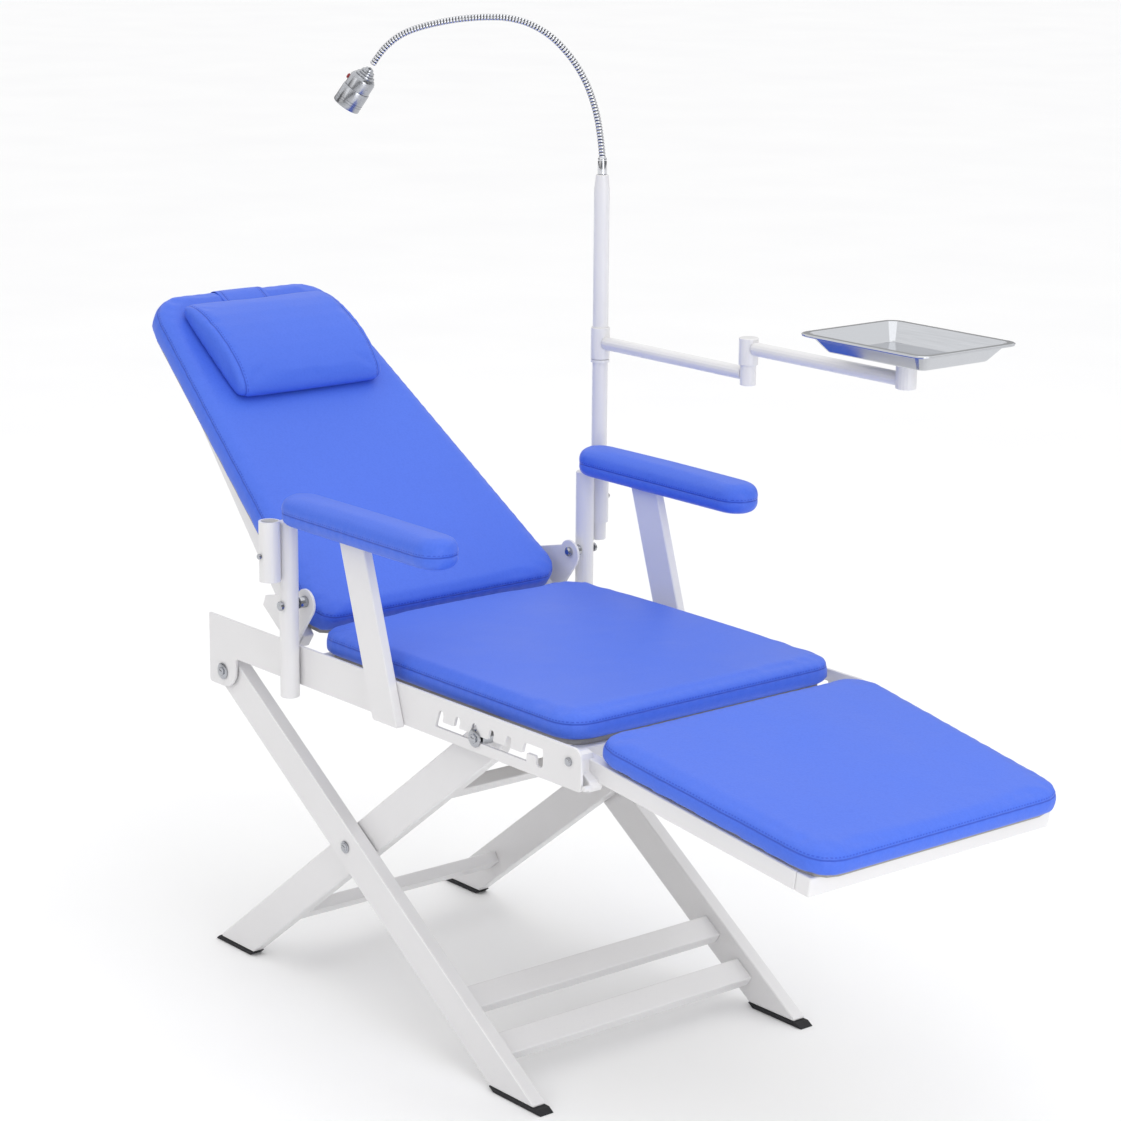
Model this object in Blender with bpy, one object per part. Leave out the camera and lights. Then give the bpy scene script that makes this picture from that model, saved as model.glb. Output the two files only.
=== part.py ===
"""Folding portable dental chair: scissor-leg frame, three cushions, armrests, lamp and tray.

Built in a working frame (X forward from the heel of the rear feet, Y from the chair's mid-plane,
Z up from the floor) and moved at the end so that the middle of the footprint is the origin.
"Near" parts are on the -Y side, "far" parts on the +Y side, where the lamp pole stands.
"""
import math

import bmesh
import bpy
from mathutils import Matrix, Vector

# ---- where the origin of the finished chair lies in the working frame ----
CENTRE_X = 0.5369
CENTRE_Y = 0.0390
GAP = 0.0003              # clearance between pieces that touch

# ---- seat rails ----
RAIL_REAR = 0.0420
RAIL_FRONT = 0.9540
RAIL_TOP = 0.5655
RAIL_BOTTOM = 0.5050
RAIL_OUTER = 0.2735       # distance of the outer face from the mid-plane
RAIL_THICK = 0.0045
LUG_FRONT = 0.1150
LUG_BOTTOM = 0.4535

# ---- ratchet slot in each rail ----
SLOT_REAR = 0.6290
SLOT_FLOOR = 0.5210
TOOTH_TIP = 0.5310
NOTCH_TOP = 0.5475
NOTCH_FIRST = 0.6400
NOTCH_PITCH = 0.0386
NOTCH_WIDTH = 0.0120
NOTCH_LEAN = 0.0050
STEP_REAR = 0.8370
STEP_FRONT = 0.8570
STEP_TOP = 0.5335
POCKET_FRONT = 0.8727
POCKET_FLOOR = 0.5195

# ---- scissor legs ----
LEG_PIVOT = (0.0800, 0.4780)
SCISSOR = (0.3944, 0.2723)
SLOT_PIN = (0.7226, 0.5262)
FRONT_LEG_ANGLE = math.atan2(LEG_PIVOT[1] - SCISSOR[1], SCISSOR[0] - LEG_PIVOT[0])
REAR_LEG_ANGLE = math.atan2(SLOT_PIN[1] - SCISSOR[1], SLOT_PIN[0] - SCISSOR[0])
LEG_DEPTH = 0.0580
FRONT_LEG_OUTER = 0.2658
FRONT_LEG_INNER = 0.2428
REAR_LEG_OUTER = 0.2400
REAR_LEG_INNER = 0.2190
FOOT_CAP = 0.0070

# ---- reclining back ----
BACK_PIVOT = (0.2890, 0.6320)
BACK_ANGLE = math.radians(35.4)
BACK_ORIGIN = (0.2800, 0.6174)
BACK_LOW = -0.0240
BACK_HIGH = 0.6880
BACK_HALF_LOW = 0.2420
BACK_TAPER = 0.1010
BACK_THICK = 0.0440
BACK_BAR_LOW = 0.2420
BACK_BAR_TAPER = 0.1667
BACK_BAR_WIDE = 0.0200

# ---- seat and footrest cushions ----
SEAT_REAR = 0.3030
SEAT_FRONT = 0.9120
SEAT_HALF = 0.2570
SEAT_BOTTOM = 0.5580
SEAT_THICK = 0.0365
FOOT_PIVOT = (0.9290, 0.5440)
FOOT_ANGLE = math.radians(8.4)
FOOT_ORIGIN = (0.9450, 0.5515)
FOOT_LENGTH = 0.4360
FOOT_HALF_REAR = 0.2590
FOOT_TAPER = 0.0560
FOOT_THICK = 0.0330

# ---- armrests ----
UPRIGHT_X = 0.2865
UPRIGHT_Y = 0.2885
UPRIGHT_RADIUS = 0.0148
UPRIGHT_BOTTOM = 0.4880
PAD_BOTTOM = 0.7600
PAD_HEIGHT = 0.0460
PAD_REAR = 0.2910
PAD_FRONT = 0.6800
PAD_Y = 0.2860
PAD_HALF = 0.0350
SOCKET_Y = 0.3197
SOCKET_X = 0.2835
SOCKET_OUTER = 0.0162
SOCKET_BORE = 0.0129
SOCKET_LOW = 0.6720
SOCKET_HIGH = 0.7640

# ---- lamp pole and tray arms ----
POLE_RADIUS = 0.0125
POLE_LOW = 0.6430
POLE_HIGH = 1.2330
POLE_TIP_RADIUS = 0.0100
COLLAR_LOW = 0.9390
COLLAR_HIGH = 0.9900
ARM_TUBE = 0.0105
LOWER_ARM_Z = 0.9655
ELBOW_X = 0.6300
UPPER_ARM_Z = 1.0055
TRAY_HUB_X = 0.9600
TRAY_BASE_Z = 1.0400
TRAY_RIM_Z = 1.0670
GOOSE_HEADING = math.radians(220.0)

WHITE = (0.86, 0.87, 0.89)
BLUE = (0.105, 0.205, 0.830)
CHROME = (0.78, 0.79, 0.81)
RUBBER = (0.018, 0.018, 0.020)
STEEL = (0.70, 0.71, 0.73)
RED = (0.25, 0.010, 0.025)
BOARD = (0.360, 0.350, 0.330)


class Plane:
    """A sloping working plane: s runs along it, y across the chair, n out of its face."""

    def __init__(self, x, z, slope):
        self.origin = Vector((x, 0.0, z))
        self.along = Vector((math.cos(slope), 0.0, math.sin(slope)))
        self.normal = Vector((-math.sin(slope), 0.0, math.cos(slope)))

    def at(self, s, y, n):
        return self.origin + self.along * s + Vector((0.0, y, 0.0)) + self.normal * n


FLAT = Plane(0.0, 0.0, 0.0)
FOOT_PLANE = Plane(FOOT_ORIGIN[0], FOOT_ORIGIN[1], -FOOT_ANGLE)


class BackPlane(Plane):
    """The back's plane: s climbs from the seat to the head end, n faces the patient."""

    def __init__(self):
        self.origin = Vector((BACK_ORIGIN[0], 0.0, BACK_ORIGIN[1]))
        self.along = Vector((-math.cos(BACK_ANGLE), 0.0, math.sin(BACK_ANGLE)))
        self.normal = Vector((math.sin(BACK_ANGLE), 0.0, math.cos(BACK_ANGLE)))


BACK_PLANE = BackPlane()


# ------------------------------------------------------------------ building helpers
def finish(name, mesh_data, colour, roughness, metallic, pivot):
    """Turns a bmesh into a named object with its own material and its origin on its joint."""
    bmesh.ops.remove_doubles(mesh_data, verts=mesh_data.verts, dist=0.00001)
    bmesh.ops.recalc_face_normals(mesh_data, faces=mesh_data.faces)
    mesh = bpy.data.meshes.new(name)
    mesh_data.to_mesh(mesh)
    mesh_data.free()
    origin = Vector(pivot)
    mesh.transform(Matrix.Translation(-origin))
    body = bpy.data.objects.new(name, mesh)
    body.location = origin
    bpy.context.scene.collection.objects.link(body)
    mesh.shade_smooth()
    mesh.set_sharp_from_angle(angle=math.radians(32.0))
    paint = bpy.data.materials.new(name + "_finish")
    paint.use_nodes = True
    shader = paint.node_tree.nodes["Principled BSDF"]
    shader.inputs["Base Color"].default_value = (colour[0], colour[1], colour[2], 1.0)
    shader.inputs["Roughness"].default_value = roughness
    shader.inputs["Metallic"].default_value = metallic
    mesh.materials.append(paint)
    return body


def powder_coated(name, mesh_data, pivot=(0.0, 0.0, 0.0)):
    return finish(name, mesh_data, WHITE, 0.38, 0.0, pivot)


def upholstered(name, mesh_data, pivot=(0.0, 0.0, 0.0)):
    return finish(name, mesh_data, BLUE, 0.50, 0.0, pivot)


def plated(name, mesh_data, pivot=(0.0, 0.0, 0.0)):
    return finish(name, mesh_data, CHROME, 0.16, 1.0, pivot)


def loft(rings, closed_ends=True):
    """Skins a list of rings of equal length; the first and last ring are capped."""
    mesh_data = bmesh.new()
    rows = [[mesh_data.verts.new(point) for point in ring] for ring in rings]
    count = len(rows[0])
    for lower, upper in zip(rows, rows[1:]):
        for i in range(count):
            j = (i + 1) % count
            mesh_data.faces.new((lower[i], lower[j], upper[j], upper[i]))
    if closed_ends:
        mesh_data.faces.new(list(reversed(rows[0])))
        mesh_data.faces.new(rows[-1])
    return mesh_data


def rounded(corners, radii, steps=5):
    """A polygon with each corner turned into an arc of its own radius."""
    outline = []
    count = len(corners)
    for i in range(count):
        here = Vector(corners[i])
        before = (Vector(corners[i - 1]) - here).normalized()
        after = (Vector(corners[(i + 1) % count]) - here).normalized()
        radius = radii[i]
        if radius <= 0.0:
            outline.append((here.x, here.y))
            continue
        half = before.angle(after) / 2.0
        centre = here + (before + after).normalized() * (radius / math.sin(half))
        start = here + before * (radius / math.tan(half)) - centre
        end = here + after * (radius / math.tan(half)) - centre
        sweep = start.angle_signed(end)
        for k in range(steps + 1):
            turn = -sweep * k / steps
            cos_t = math.cos(turn)
            sin_t = math.sin(turn)
            outline.append((centre.x + start.x * cos_t - start.y * sin_t,
                            centre.y + start.x * sin_t + start.y * cos_t))
    return outline


def plate(outline, y_low, y_high, edge=0.0006):
    """A flat plate with an XZ outline, its two faces at y_low and y_high, edges eased."""
    rings = []
    for y, inset in ((y_low, edge), (y_low + edge, 0.0), (y_high - edge, 0.0), (y_high, edge)):
        rings.append([(x, y, z) for x, z in inward(outline, inset)])
    return loft(rings)


def inward(outline, inset):
    """Moves every side of an outline inwards by the inset."""
    if inset == 0.0:
        return list(outline)
    count = len(outline)
    area = sum(outline[i - 1][0] * outline[i][1] - outline[i][0] * outline[i - 1][1]
               for i in range(count))
    side = 1.0 if area > 0.0 else -1.0
    moved = []
    for i in range(count):
        here = Vector(outline[i])
        before = (here - Vector(outline[i - 1])).normalized()
        after = (Vector(outline[(i + 1) % count]) - here).normalized()
        normal_a = Vector((-before.y, before.x)) * side
        normal_b = Vector((-after.y, after.x)) * side
        bisector = (normal_a + normal_b).normalized()
        reach = inset / max(0.35, bisector.dot(normal_a))
        moved.append((here.x + bisector.x * reach, here.y + bisector.y * reach))
    return moved


def slab(plane, outline, n_low, n_high, edge=0.0008):
    """A flat piece lying in a working plane: an (s, y) outline between two heights."""
    rings = []
    for n, inset in ((n_low, edge), (n_low + edge, 0.0), (n_high - edge, 0.0), (n_high, edge)):
        rings.append([plane.at(s, y, n) for s, y in inward(outline, inset)])
    return loft(rings)


def cushion(plane, corners, radii, n_low, thick, lower_edge, upper_edge):
    """An upholstered pad: a rounded outline with soft lower and upper edges."""
    profile = []
    for k in range(3):
        turn = math.radians(90.0 * k / 2.0)
        profile.append((lower_edge * (1.0 - math.sin(turn)), n_low + lower_edge * (1.0 - math.cos(turn))))
    for k in range(4):
        turn = math.radians(90.0 * k / 3.0)
        profile.append((upper_edge * (1.0 - math.cos(turn)),
                        n_low + thick - upper_edge * (1.0 - math.sin(turn))))
    outline = rounded(corners, radii, 4)
    return loft([[plane.at(s, y, n) for s, y in inward(outline, inset)] for inset, n in profile])


def turned(start, direction, profile, sides=32):
    """A lathed piece: (distance along the axis, radius) pairs from a start point."""
    axis = Vector(direction).normalized()
    spin = axis.to_track_quat("Z", "Y").to_matrix()
    rings = []
    for distance, radius in profile:
        ring = []
        for i in range(sides):
            turn = 2.0 * math.pi * i / sides
            ring.append(Vector(start) + spin @ Vector((radius * math.cos(turn),
                                                       radius * math.sin(turn), distance)))
        rings.append(ring)
    return loft(rings)


def rod(start, end, radius, edge=0.0006, sides=32):
    """A round bar with eased ends."""
    run = Vector(end) - Vector(start)
    length = run.length
    return turned(start, run, ((0.0, radius - edge), (edge, radius), (length - edge, radius),
                               (length, radius - edge)), sides)


def swept(points, radii, sides=16):
    """A round bar of changing radius along a smooth path in one plane."""
    side_axis = (points[1] - points[0]).cross(points[-1] - points[0]).normalized()
    rings = []
    for i, point in enumerate(points):
        ahead = points[min(i + 1, len(points) - 1)]
        behind = points[max(i - 1, 0)]
        tangent = (ahead - behind).normalized()
        other = tangent.cross(side_axis)
        rings.append([point + (side_axis * math.cos(2.0 * math.pi * k / sides)
                               + other * math.sin(2.0 * math.pi * k / sides)) * radii[i]
                      for k in range(sides)])
    return loft(rings)


def change(body, other, operation):
    """Cuts one solid with another, or welds the two, and throws the other away."""
    other.display_type = "WIRE"
    other.hide_render = True
    step = body.modifiers.new(operation.lower(), "BOOLEAN")
    step.operation = operation
    step.solver = "EXACT"
    step.object = other
    bpy.context.view_layer.objects.active = body
    bpy.context.view_layer.update()
    bpy.ops.object.modifier_apply(modifier=step.name)
    spent = other.data
    bpy.data.objects.remove(other)
    bpy.data.meshes.remove(spent)
    body.data.shade_smooth()
    body.data.set_sharp_from_angle(angle=math.radians(32.0))


def drill(body, start, end, radius):
    """A round hole through a solid."""
    change(body, powder_coated("drill", rod(start, end, radius, 0.0, 12)), "DIFFERENCE")


def weld(body, mesh_data):
    """Joins another solid to a piece as one body."""
    change(body, powder_coated("weld", mesh_data), "UNION")


def across(side, low, high):
    """The pair of Y values of a piece given by its distances from the mid-plane."""
    return (low, high) if side > 0.0 else (-high, -low)


SIDES = (("near", -1.0), ("far", 1.0))


# ------------------------------------------------------------------ seat frame
def slot_outline():
    """The ratchet slot: a channel with leaning notches above it and a pocket at its front end."""
    outline = [(SLOT_REAR, SLOT_FLOOR), (STEP_REAR, SLOT_FLOOR), (STEP_REAR, STEP_TOP),
               (STEP_FRONT, STEP_TOP), (STEP_FRONT, POCKET_FLOOR), (POCKET_FRONT, POCKET_FLOOR),
               (POCKET_FRONT, NOTCH_TOP)]
    radii = [0.002, 0.001, 0.002, 0.002, 0.005, 0.005, 0.002]
    half = NOTCH_WIDTH / 2.0
    for k in range(5, -1, -1):
        middle = NOTCH_FIRST + NOTCH_PITCH * k
        if k < 5:
            outline.append((middle + half, TOOTH_TIP))
            radii.append(0.002)
            outline.append((middle + half + NOTCH_LEAN, NOTCH_TOP))
            radii.append(0.0055)
        outline.append((middle - half + NOTCH_LEAN, NOTCH_TOP))
        radii.append(0.0055)
        if k > 0:
            outline.append((middle - half, TOOTH_TIP))
            radii.append(0.002)
    return rounded(outline, radii, 2)


def rail_outline():
    corners = [(RAIL_REAR, RAIL_TOP), (RAIL_REAR, LUG_BOTTOM), (LUG_FRONT, LUG_BOTTOM),
               (LUG_FRONT, RAIL_BOTTOM), (RAIL_FRONT, RAIL_BOTTOM), (RAIL_FRONT, RAIL_TOP)]
    return rounded(corners, [0.002, 0.006, 0.033, 0.006, 0.007, 0.016], 4)


def build_seat_frame():
    for label, side in SIDES:
        y_low, y_high = across(side, RAIL_OUTER - RAIL_THICK, RAIL_OUTER)
        rail = powder_coated("side_rail_" + label, plate(rail_outline(), y_low, y_high))
        slot = powder_coated("slot_cutter", plate(slot_outline(), y_low - 0.01, y_high + 0.01, 0.0001))
        change(rail, slot, "DIFFERENCE")
        for centre in (LEG_PIVOT, FOOT_PIVOT):
            drill(rail, (centre[0], y_low - 0.01, centre[1]), (centre[0], y_high + 0.01, centre[1]),
                  0.0043)
    inner = RAIL_OUTER - RAIL_THICK - GAP
    for name, x_low, x_high, z_low, z_high in (
            ("seat_cross_tube_rear", 0.2990, 0.3240, 0.5245, 0.5495),
            ("seat_cross_tube_front", 0.8840, 0.9090, 0.5245, 0.5495)):
        outline = rounded([(x_low, z_low), (x_high, z_low), (x_high, z_high), (x_low, z_high)],
                          [0.002] * 4, 2)
        powder_coated(name, plate(outline, -inner, inner))
    board_corners = [(SEAT_REAR + 0.010, -0.245), (SEAT_FRONT - 0.012, -0.245),
                     (SEAT_FRONT - 0.012, 0.245), (SEAT_REAR + 0.010, 0.245)]
    finish("seat_board", slab(FLAT, rounded(board_corners, [0.04] * 4, 3), 0.5498, 0.5577),
           BOARD, 0.70, 0.0, (0.0, 0.0, 0.0))
    seat_corners = [(SEAT_REAR, -SEAT_HALF), (SEAT_FRONT, -SEAT_HALF), (SEAT_FRONT, SEAT_HALF),
                    (SEAT_REAR, SEAT_HALF)]
    upholstered("seat_cushion", cushion(FLAT, seat_corners, [0.045] * 4, SEAT_BOTTOM, SEAT_THICK,
                                        0.006, 0.013))


def build_armrests():
    for label, side in SIDES:
        y = side * UPRIGHT_Y
        upright = powder_coated("armrest_upright_" + label,
                                rod((UPRIGHT_X, y, UPRIGHT_BOTTOM),
                                    (UPRIGHT_X, y, PAD_BOTTOM - GAP), UPRIGHT_RADIUS, 0.0012, 24))
        drill(upright, (BACK_PIVOT[0], y - 0.03, BACK_PIVOT[1]),
              (BACK_PIVOT[0], y + 0.03, BACK_PIVOT[1]), 0.0043)
        strut = rounded([(0.4970, 0.5020), (0.5575, 0.5020), (0.4760, PAD_BOTTOM - GAP),
                         (0.4155, PAD_BOTTOM - GAP)], [0.0022] * 4, 2)
        y_low, y_high = across(side, RAIL_OUTER + GAP, RAIL_OUTER + 0.0150)
        powder_coated("armrest_strut_" + label, plate(strut, y_low, y_high, 0.0014))
        low = side * PAD_Y - PAD_HALF
        high = side * PAD_Y + PAD_HALF
        corners = [(PAD_REAR, low), (PAD_FRONT, low), (PAD_FRONT, high), (PAD_REAR, high)]
        upholstered("armrest_pad_" + label,
                    cushion(FLAT, corners, [0.0345] * 4, PAD_BOTTOM, PAD_HEIGHT, 0.013, 0.018))
        socket = turned((SOCKET_X, side * SOCKET_Y, SOCKET_LOW), (0.0, 0.0, 1.0),
                        ((0.0, SOCKET_BORE), (0.0, SOCKET_OUTER), (SOCKET_HIGH - SOCKET_LOW, SOCKET_OUTER),
                         (SOCKET_HIGH - SOCKET_LOW, SOCKET_BORE), (0.0, SOCKET_BORE)), 24)
        remove_caps(socket)
        tube = powder_coated("pole_socket_" + label, socket)
        drill(tube, (SOCKET_X, side * (SOCKET_Y + 0.005), 0.7120),
              (SOCKET_X, side * (SOCKET_Y + 0.030), 0.7120), 0.0028)
        plated("socket_screw_" + label,
               turned((SOCKET_X, side * (SOCKET_Y + SOCKET_BORE + 0.0003), 0.7120), (0.0, side, 0.0),
                      ((0.0, 0.0020), (0.0003, 0.0025), (0.0043, 0.0025), (0.0043, 0.0042),
                       (0.0072, 0.0042), (0.0078, 0.0036)), 12))


def remove_caps(mesh_data):
    """Opens the two end caps of a lathed tube whose profile already runs back to its start."""
    caps = [face for face in mesh_data.faces if len(face.verts) > 4]
    bmesh.ops.delete(mesh_data, geom=caps, context="FACES_ONLY")


# ------------------------------------------------------------------ back
def back_half(s):
    return BACK_HALF_LOW - BACK_TAPER * s


def bar_half(s):
    """Distance of a side bar's outer face from the mid-plane; the bars taper more than the back."""
    return BACK_BAR_LOW - BACK_BAR_TAPER * s


def build_back():
    pivot = (BACK_PIVOT[0], 0.0, BACK_PIVOT[1])
    corners = [(BACK_LOW, -back_half(BACK_LOW)), (BACK_HIGH, -back_half(BACK_HIGH)),
               (BACK_HIGH, back_half(BACK_HIGH)), (BACK_LOW, back_half(BACK_LOW))]
    upholstered("back_cushion", cushion(BACK_PLANE, corners, [0.040, 0.062, 0.062, 0.040],
                                        -BACK_THICK, BACK_THICK, 0.008, 0.013), pivot)
    low = BACK_LOW + 0.008
    high = BACK_HIGH - 0.012
    board = [(low, -back_half(low) + 0.012), (high, -back_half(high) + 0.012),
             (high, back_half(high) - 0.012), (low, back_half(low) - 0.012)]
    board_top = -BACK_THICK - GAP
    finish("back_board", slab(BACK_PLANE, rounded(board, [0.03, 0.05, 0.05, 0.03], 3),
                              board_top - 0.0080, board_top), BOARD, 0.70, 0.0, pivot)
    bar_top = board_top - 0.0080 - GAP
    bar_low = bar_top - 0.0250
    for label, side in SIDES:
        bar = [(-0.012, side * bar_half(-0.012)), (0.630, side * bar_half(0.630)),
               (0.630, side * (bar_half(0.630) - BACK_BAR_WIDE)),
               (-0.012, side * (bar_half(-0.012) - BACK_BAR_WIDE))]
        powder_coated("back_side_bar_" + label,
                      slab(BACK_PLANE, rounded(bar, [0.0025] * 4, 2), bar_low, bar_top, 0.0012), pivot)
    for name, s in (("back_cross_bar_lower", 0.130), ("back_cross_bar_upper", 0.600)):
        reach = bar_half(s + 0.0250) - BACK_BAR_WIDE - GAP
        bar = [(s, -reach), (s + 0.0250, -reach), (s + 0.0250, reach), (s, reach)]
        powder_coated(name, slab(BACK_PLANE, rounded(bar, [0.0025] * 4, 2), bar_low, bar_top, 0.0012),
                      pivot)
    for label, side in SIDES:
        y_low, y_high = across(side, bar_half(-0.012) + GAP, 0.2600)
        bracket = powder_coated("back_bracket_" + label, plate(bracket_outline(), 0.0, 0.0045), pivot)
        bracket.data.transform(Matrix.Translation((0.0, y_high - 0.0045 if side > 0.0 else y_low, 0.0)))
        foot = bracket_foot()
        weld(bracket, plate(foot, y_low, y_high, 0.0006))
        drill(bracket, (pivot[0], y_low - 0.05, pivot[2]), (pivot[0], y_high + 0.05, pivot[2]), 0.0043)
        head = side * (UPRIGHT_Y + UPRIGHT_RADIUS + GAP)
        plated("back_pivot_bolt_" + label,
               turned((pivot[0], head + side * 0.0046, pivot[2]), (0.0, -side, 0.0),
                      pivot_bolt_profile(), 12), (pivot[0], 0.0, pivot[2]))


def pivot_bolt_profile():
    """Cap head outside the upright, shank through it, spacer, bracket, then a dome nut."""
    to_bracket = UPRIGHT_Y + UPRIGHT_RADIUS - 0.2600 + 0.0046
    return ((0.0, 0.0060), (0.0008, 0.0072), (0.0043, 0.0072), (0.0043, 0.0040),
            (0.0345, 0.0040), (0.0345, 0.0090), (to_bracket - 0.0002, 0.0090),
            (to_bracket - 0.0002, 0.0040), (to_bracket + 0.0052, 0.0040),
            (to_bracket + 0.0052, 0.0076), (to_bracket + 0.0092, 0.0076),
            (to_bracket + 0.0110, 0.0045))


def bracket_outline():
    """A rounded lobe round the pivot and a tail running down to the back's side bar."""
    lobe = []
    for k in range(11):
        turn = math.radians(-35.0 + 185.0 * k / 10.0)
        lobe.append((BACK_PIVOT[0] - 0.002 + 0.0225 * math.cos(turn),
                     BACK_PIVOT[1] - 0.004 + 0.0225 * math.sin(turn)))
    tail = []
    for s, n in ((0.082, -0.0560), (0.078, -0.0740), (-0.018, -0.0740)):
        spot = BACK_PLANE.at(s, 0.0, n)
        tail.append((spot.x, spot.z))
    return lobe + tail


def bracket_foot():
    """The thick part of the bracket that reaches inwards to the side bar."""
    foot = []
    for s, n in ((0.078, -0.0560), (0.074, -0.0730), (-0.010, -0.0730), (-0.010, -0.0560)):
        spot = BACK_PLANE.at(s, 0.0, n)
        foot.append((spot.x, spot.z))
    return foot


def build_headrest():
    pivot = BACK_PLANE.at(0.5330, 0.0, 0.0)
    profile = [(0.4267, 0.0099), (0.4250, 0.0176), (0.4302, 0.0284), (0.4442, 0.0369),
               (0.4661, 0.0438), (0.4923, 0.0485), (0.5185, 0.0500), (0.5491, 0.0485),
               (0.5797, 0.0438), (0.6059, 0.0369), (0.6278, 0.0276), (0.6383, 0.0191),
               (0.6400, 0.0106), (0.6330, 0.0045), (0.6147, 0.0028), (0.5841, 0.0026),
               (0.5491, 0.0026), (0.5141, 0.0026), (0.4792, 0.0026), (0.4486, 0.0029),
               (0.4337, 0.0045)]
    middle = (0.5330, 0.0240)
    rings = []
    for y, shrink in ((-0.141, 0.90), (-0.137, 0.96), (-0.129, 1.0), (-0.05, 1.0), (0.05, 1.0),
                      (0.129, 1.0), (0.137, 0.96), (0.141, 0.90)):
        rings.append([BACK_PLANE.at(middle[0] + (s - middle[0]) * shrink, y,
                                    middle[1] + (n - middle[1]) * shrink) for s, n in profile])
    upholstered("head_pillow", loft(rings), pivot)
    strap = ribbon([(0.4200, 0.0004), (0.6753, 0.0004), (0.6822, -0.0014), (0.6870, -0.0062),
                    (0.6886, -0.0130), (0.6886, -0.0362), (0.6862, -0.0420), (0.6815, -0.0455),
                    (0.6775, -0.0520), (0.6750, -0.0530), (0.6300, -0.0530)], 0.0018)
    upholstered("pillow_strap",
                loft([[BACK_PLANE.at(s, y, n) for s, n in strap] for y in (-0.046, 0.046)]), pivot)


def ribbon(path, thick):
    """A closed outline: a path and its parallel on the outer side."""
    outer = []
    count = len(path)
    for i in range(count):
        ahead = Vector(path[min(i + 1, count - 1)])
        behind = Vector(path[max(i - 1, 0)])
        run = (ahead - behind).normalized()
        outer.append((path[i][0] - run.y * thick, path[i][1] + run.x * thick))
    return list(path) + list(reversed(outer))


# ------------------------------------------------------------------ footrest
def foot_half(s):
    return FOOT_HALF_REAR - FOOT_TAPER * s


def build_footrest():
    pivot = (FOOT_PIVOT[0], 0.0, FOOT_PIVOT[1])
    end = FOOT_LENGTH
    corners = [(0.0, -foot_half(0.0)), (end, -foot_half(end)), (end, foot_half(end)),
               (0.0, foot_half(0.0))]
    upholstered("footrest_cushion", cushion(FOOT_PLANE, corners, [0.045, 0.050, 0.050, 0.045], 0.0,
                                            FOOT_THICK, 0.006, 0.013), pivot)
    low = 0.012
    high = end - 0.012
    board = [(low, -foot_half(low) + 0.016), (high, -foot_half(high) + 0.014),
             (high, foot_half(high) - 0.014), (low, foot_half(low) - 0.016)]
    finish("footrest_board", slab(FOOT_PLANE, rounded(board, [0.035] * 4, 3), -0.0053, -GAP),
           BOARD, 0.70, 0.0, pivot)
    bar_top = -0.0056
    bar_low = bar_top - 0.0270
    for label, side in SIDES:
        bar = []
        for s, inset in ((-0.020, 0.010), (0.386, 0.010), (0.386, 0.030), (-0.020, 0.030)):
            bar.append((s, side * (foot_half(s) - inset)))
        arm = powder_coated("footrest_side_bar_" + label,
                            slab(FOOT_PLANE, rounded(bar, [0.0025] * 4, 2), bar_low, bar_top, 0.0012),
                            pivot)
        y_low, y_high = across(side, 0.2400, 0.2630)
        ear = rounded([(0.9180, 0.5080), (0.9600, 0.5030), (0.9600, 0.5200), (0.9420, 0.5300),
                       (0.9420, 0.5560), (0.9160, 0.5560)],
                      [0.004, 0.006, 0.004, 0.004, 0.010, 0.010], 2)
        weld(arm, plate(ear, y_low, y_high, 0.0008))
        pin_start = (0.9600 - 0.0045 + 0.0030, side * 0.2600, 0.5120)
        weld(arm, rod(pin_start, (pin_start[0], side * (RAIL_OUTER - 0.0005), pin_start[2]), 0.0040, 0.0006,
                      12))
        drill(arm, (pivot[0], y_low - 0.02, pivot[2]), (pivot[0], y_high + 0.02, pivot[2]), 0.0043)
        start = side * (RAIL_OUTER + 0.0042)
        plated("footrest_pivot_bolt_" + label,
               turned((pivot[0], start, pivot[2]), (0.0, -side, 0.0),
                      ((0.0, 0.0040), (0.0012, 0.0062), (0.0039, 0.0066), (0.0039, 0.0040),
                       (0.0400, 0.0040), (0.0406, 0.0030)), 12), pivot)
    bar = [(0.3863, -foot_half(0.386) + 0.010), (0.4113, -foot_half(0.386) + 0.012),
           (0.4113, foot_half(0.386) - 0.012), (0.3863, foot_half(0.386) - 0.010)]
    powder_coated("footrest_cross_bar",
                  slab(FOOT_PLANE, rounded(bar, [0.0025] * 4, 2), bar_low, bar_top, 0.0012), pivot)


# ------------------------------------------------------------------ legs
def leg_outline(joint, slope, top_reach, heel):
    """A flat tube in side view: square-rounded at its upper end, cut level at the floor."""
    along = Vector((math.cos(slope), math.sin(slope)))
    out = Vector((-along.y, along.x)) * (LEG_DEPTH / 2.0)
    top = Vector(joint) + along * top_reach
    upper_a = top + out
    upper_b = top - out
    rise_a = (upper_a.y - heel) / along.y
    rise_b = (upper_b.y - heel) / along.y
    foot_a = upper_a - along * rise_a
    foot_b = upper_b - along * rise_b
    return [tuple(upper_a), tuple(foot_a), tuple(foot_b), tuple(upper_b)]


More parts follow.
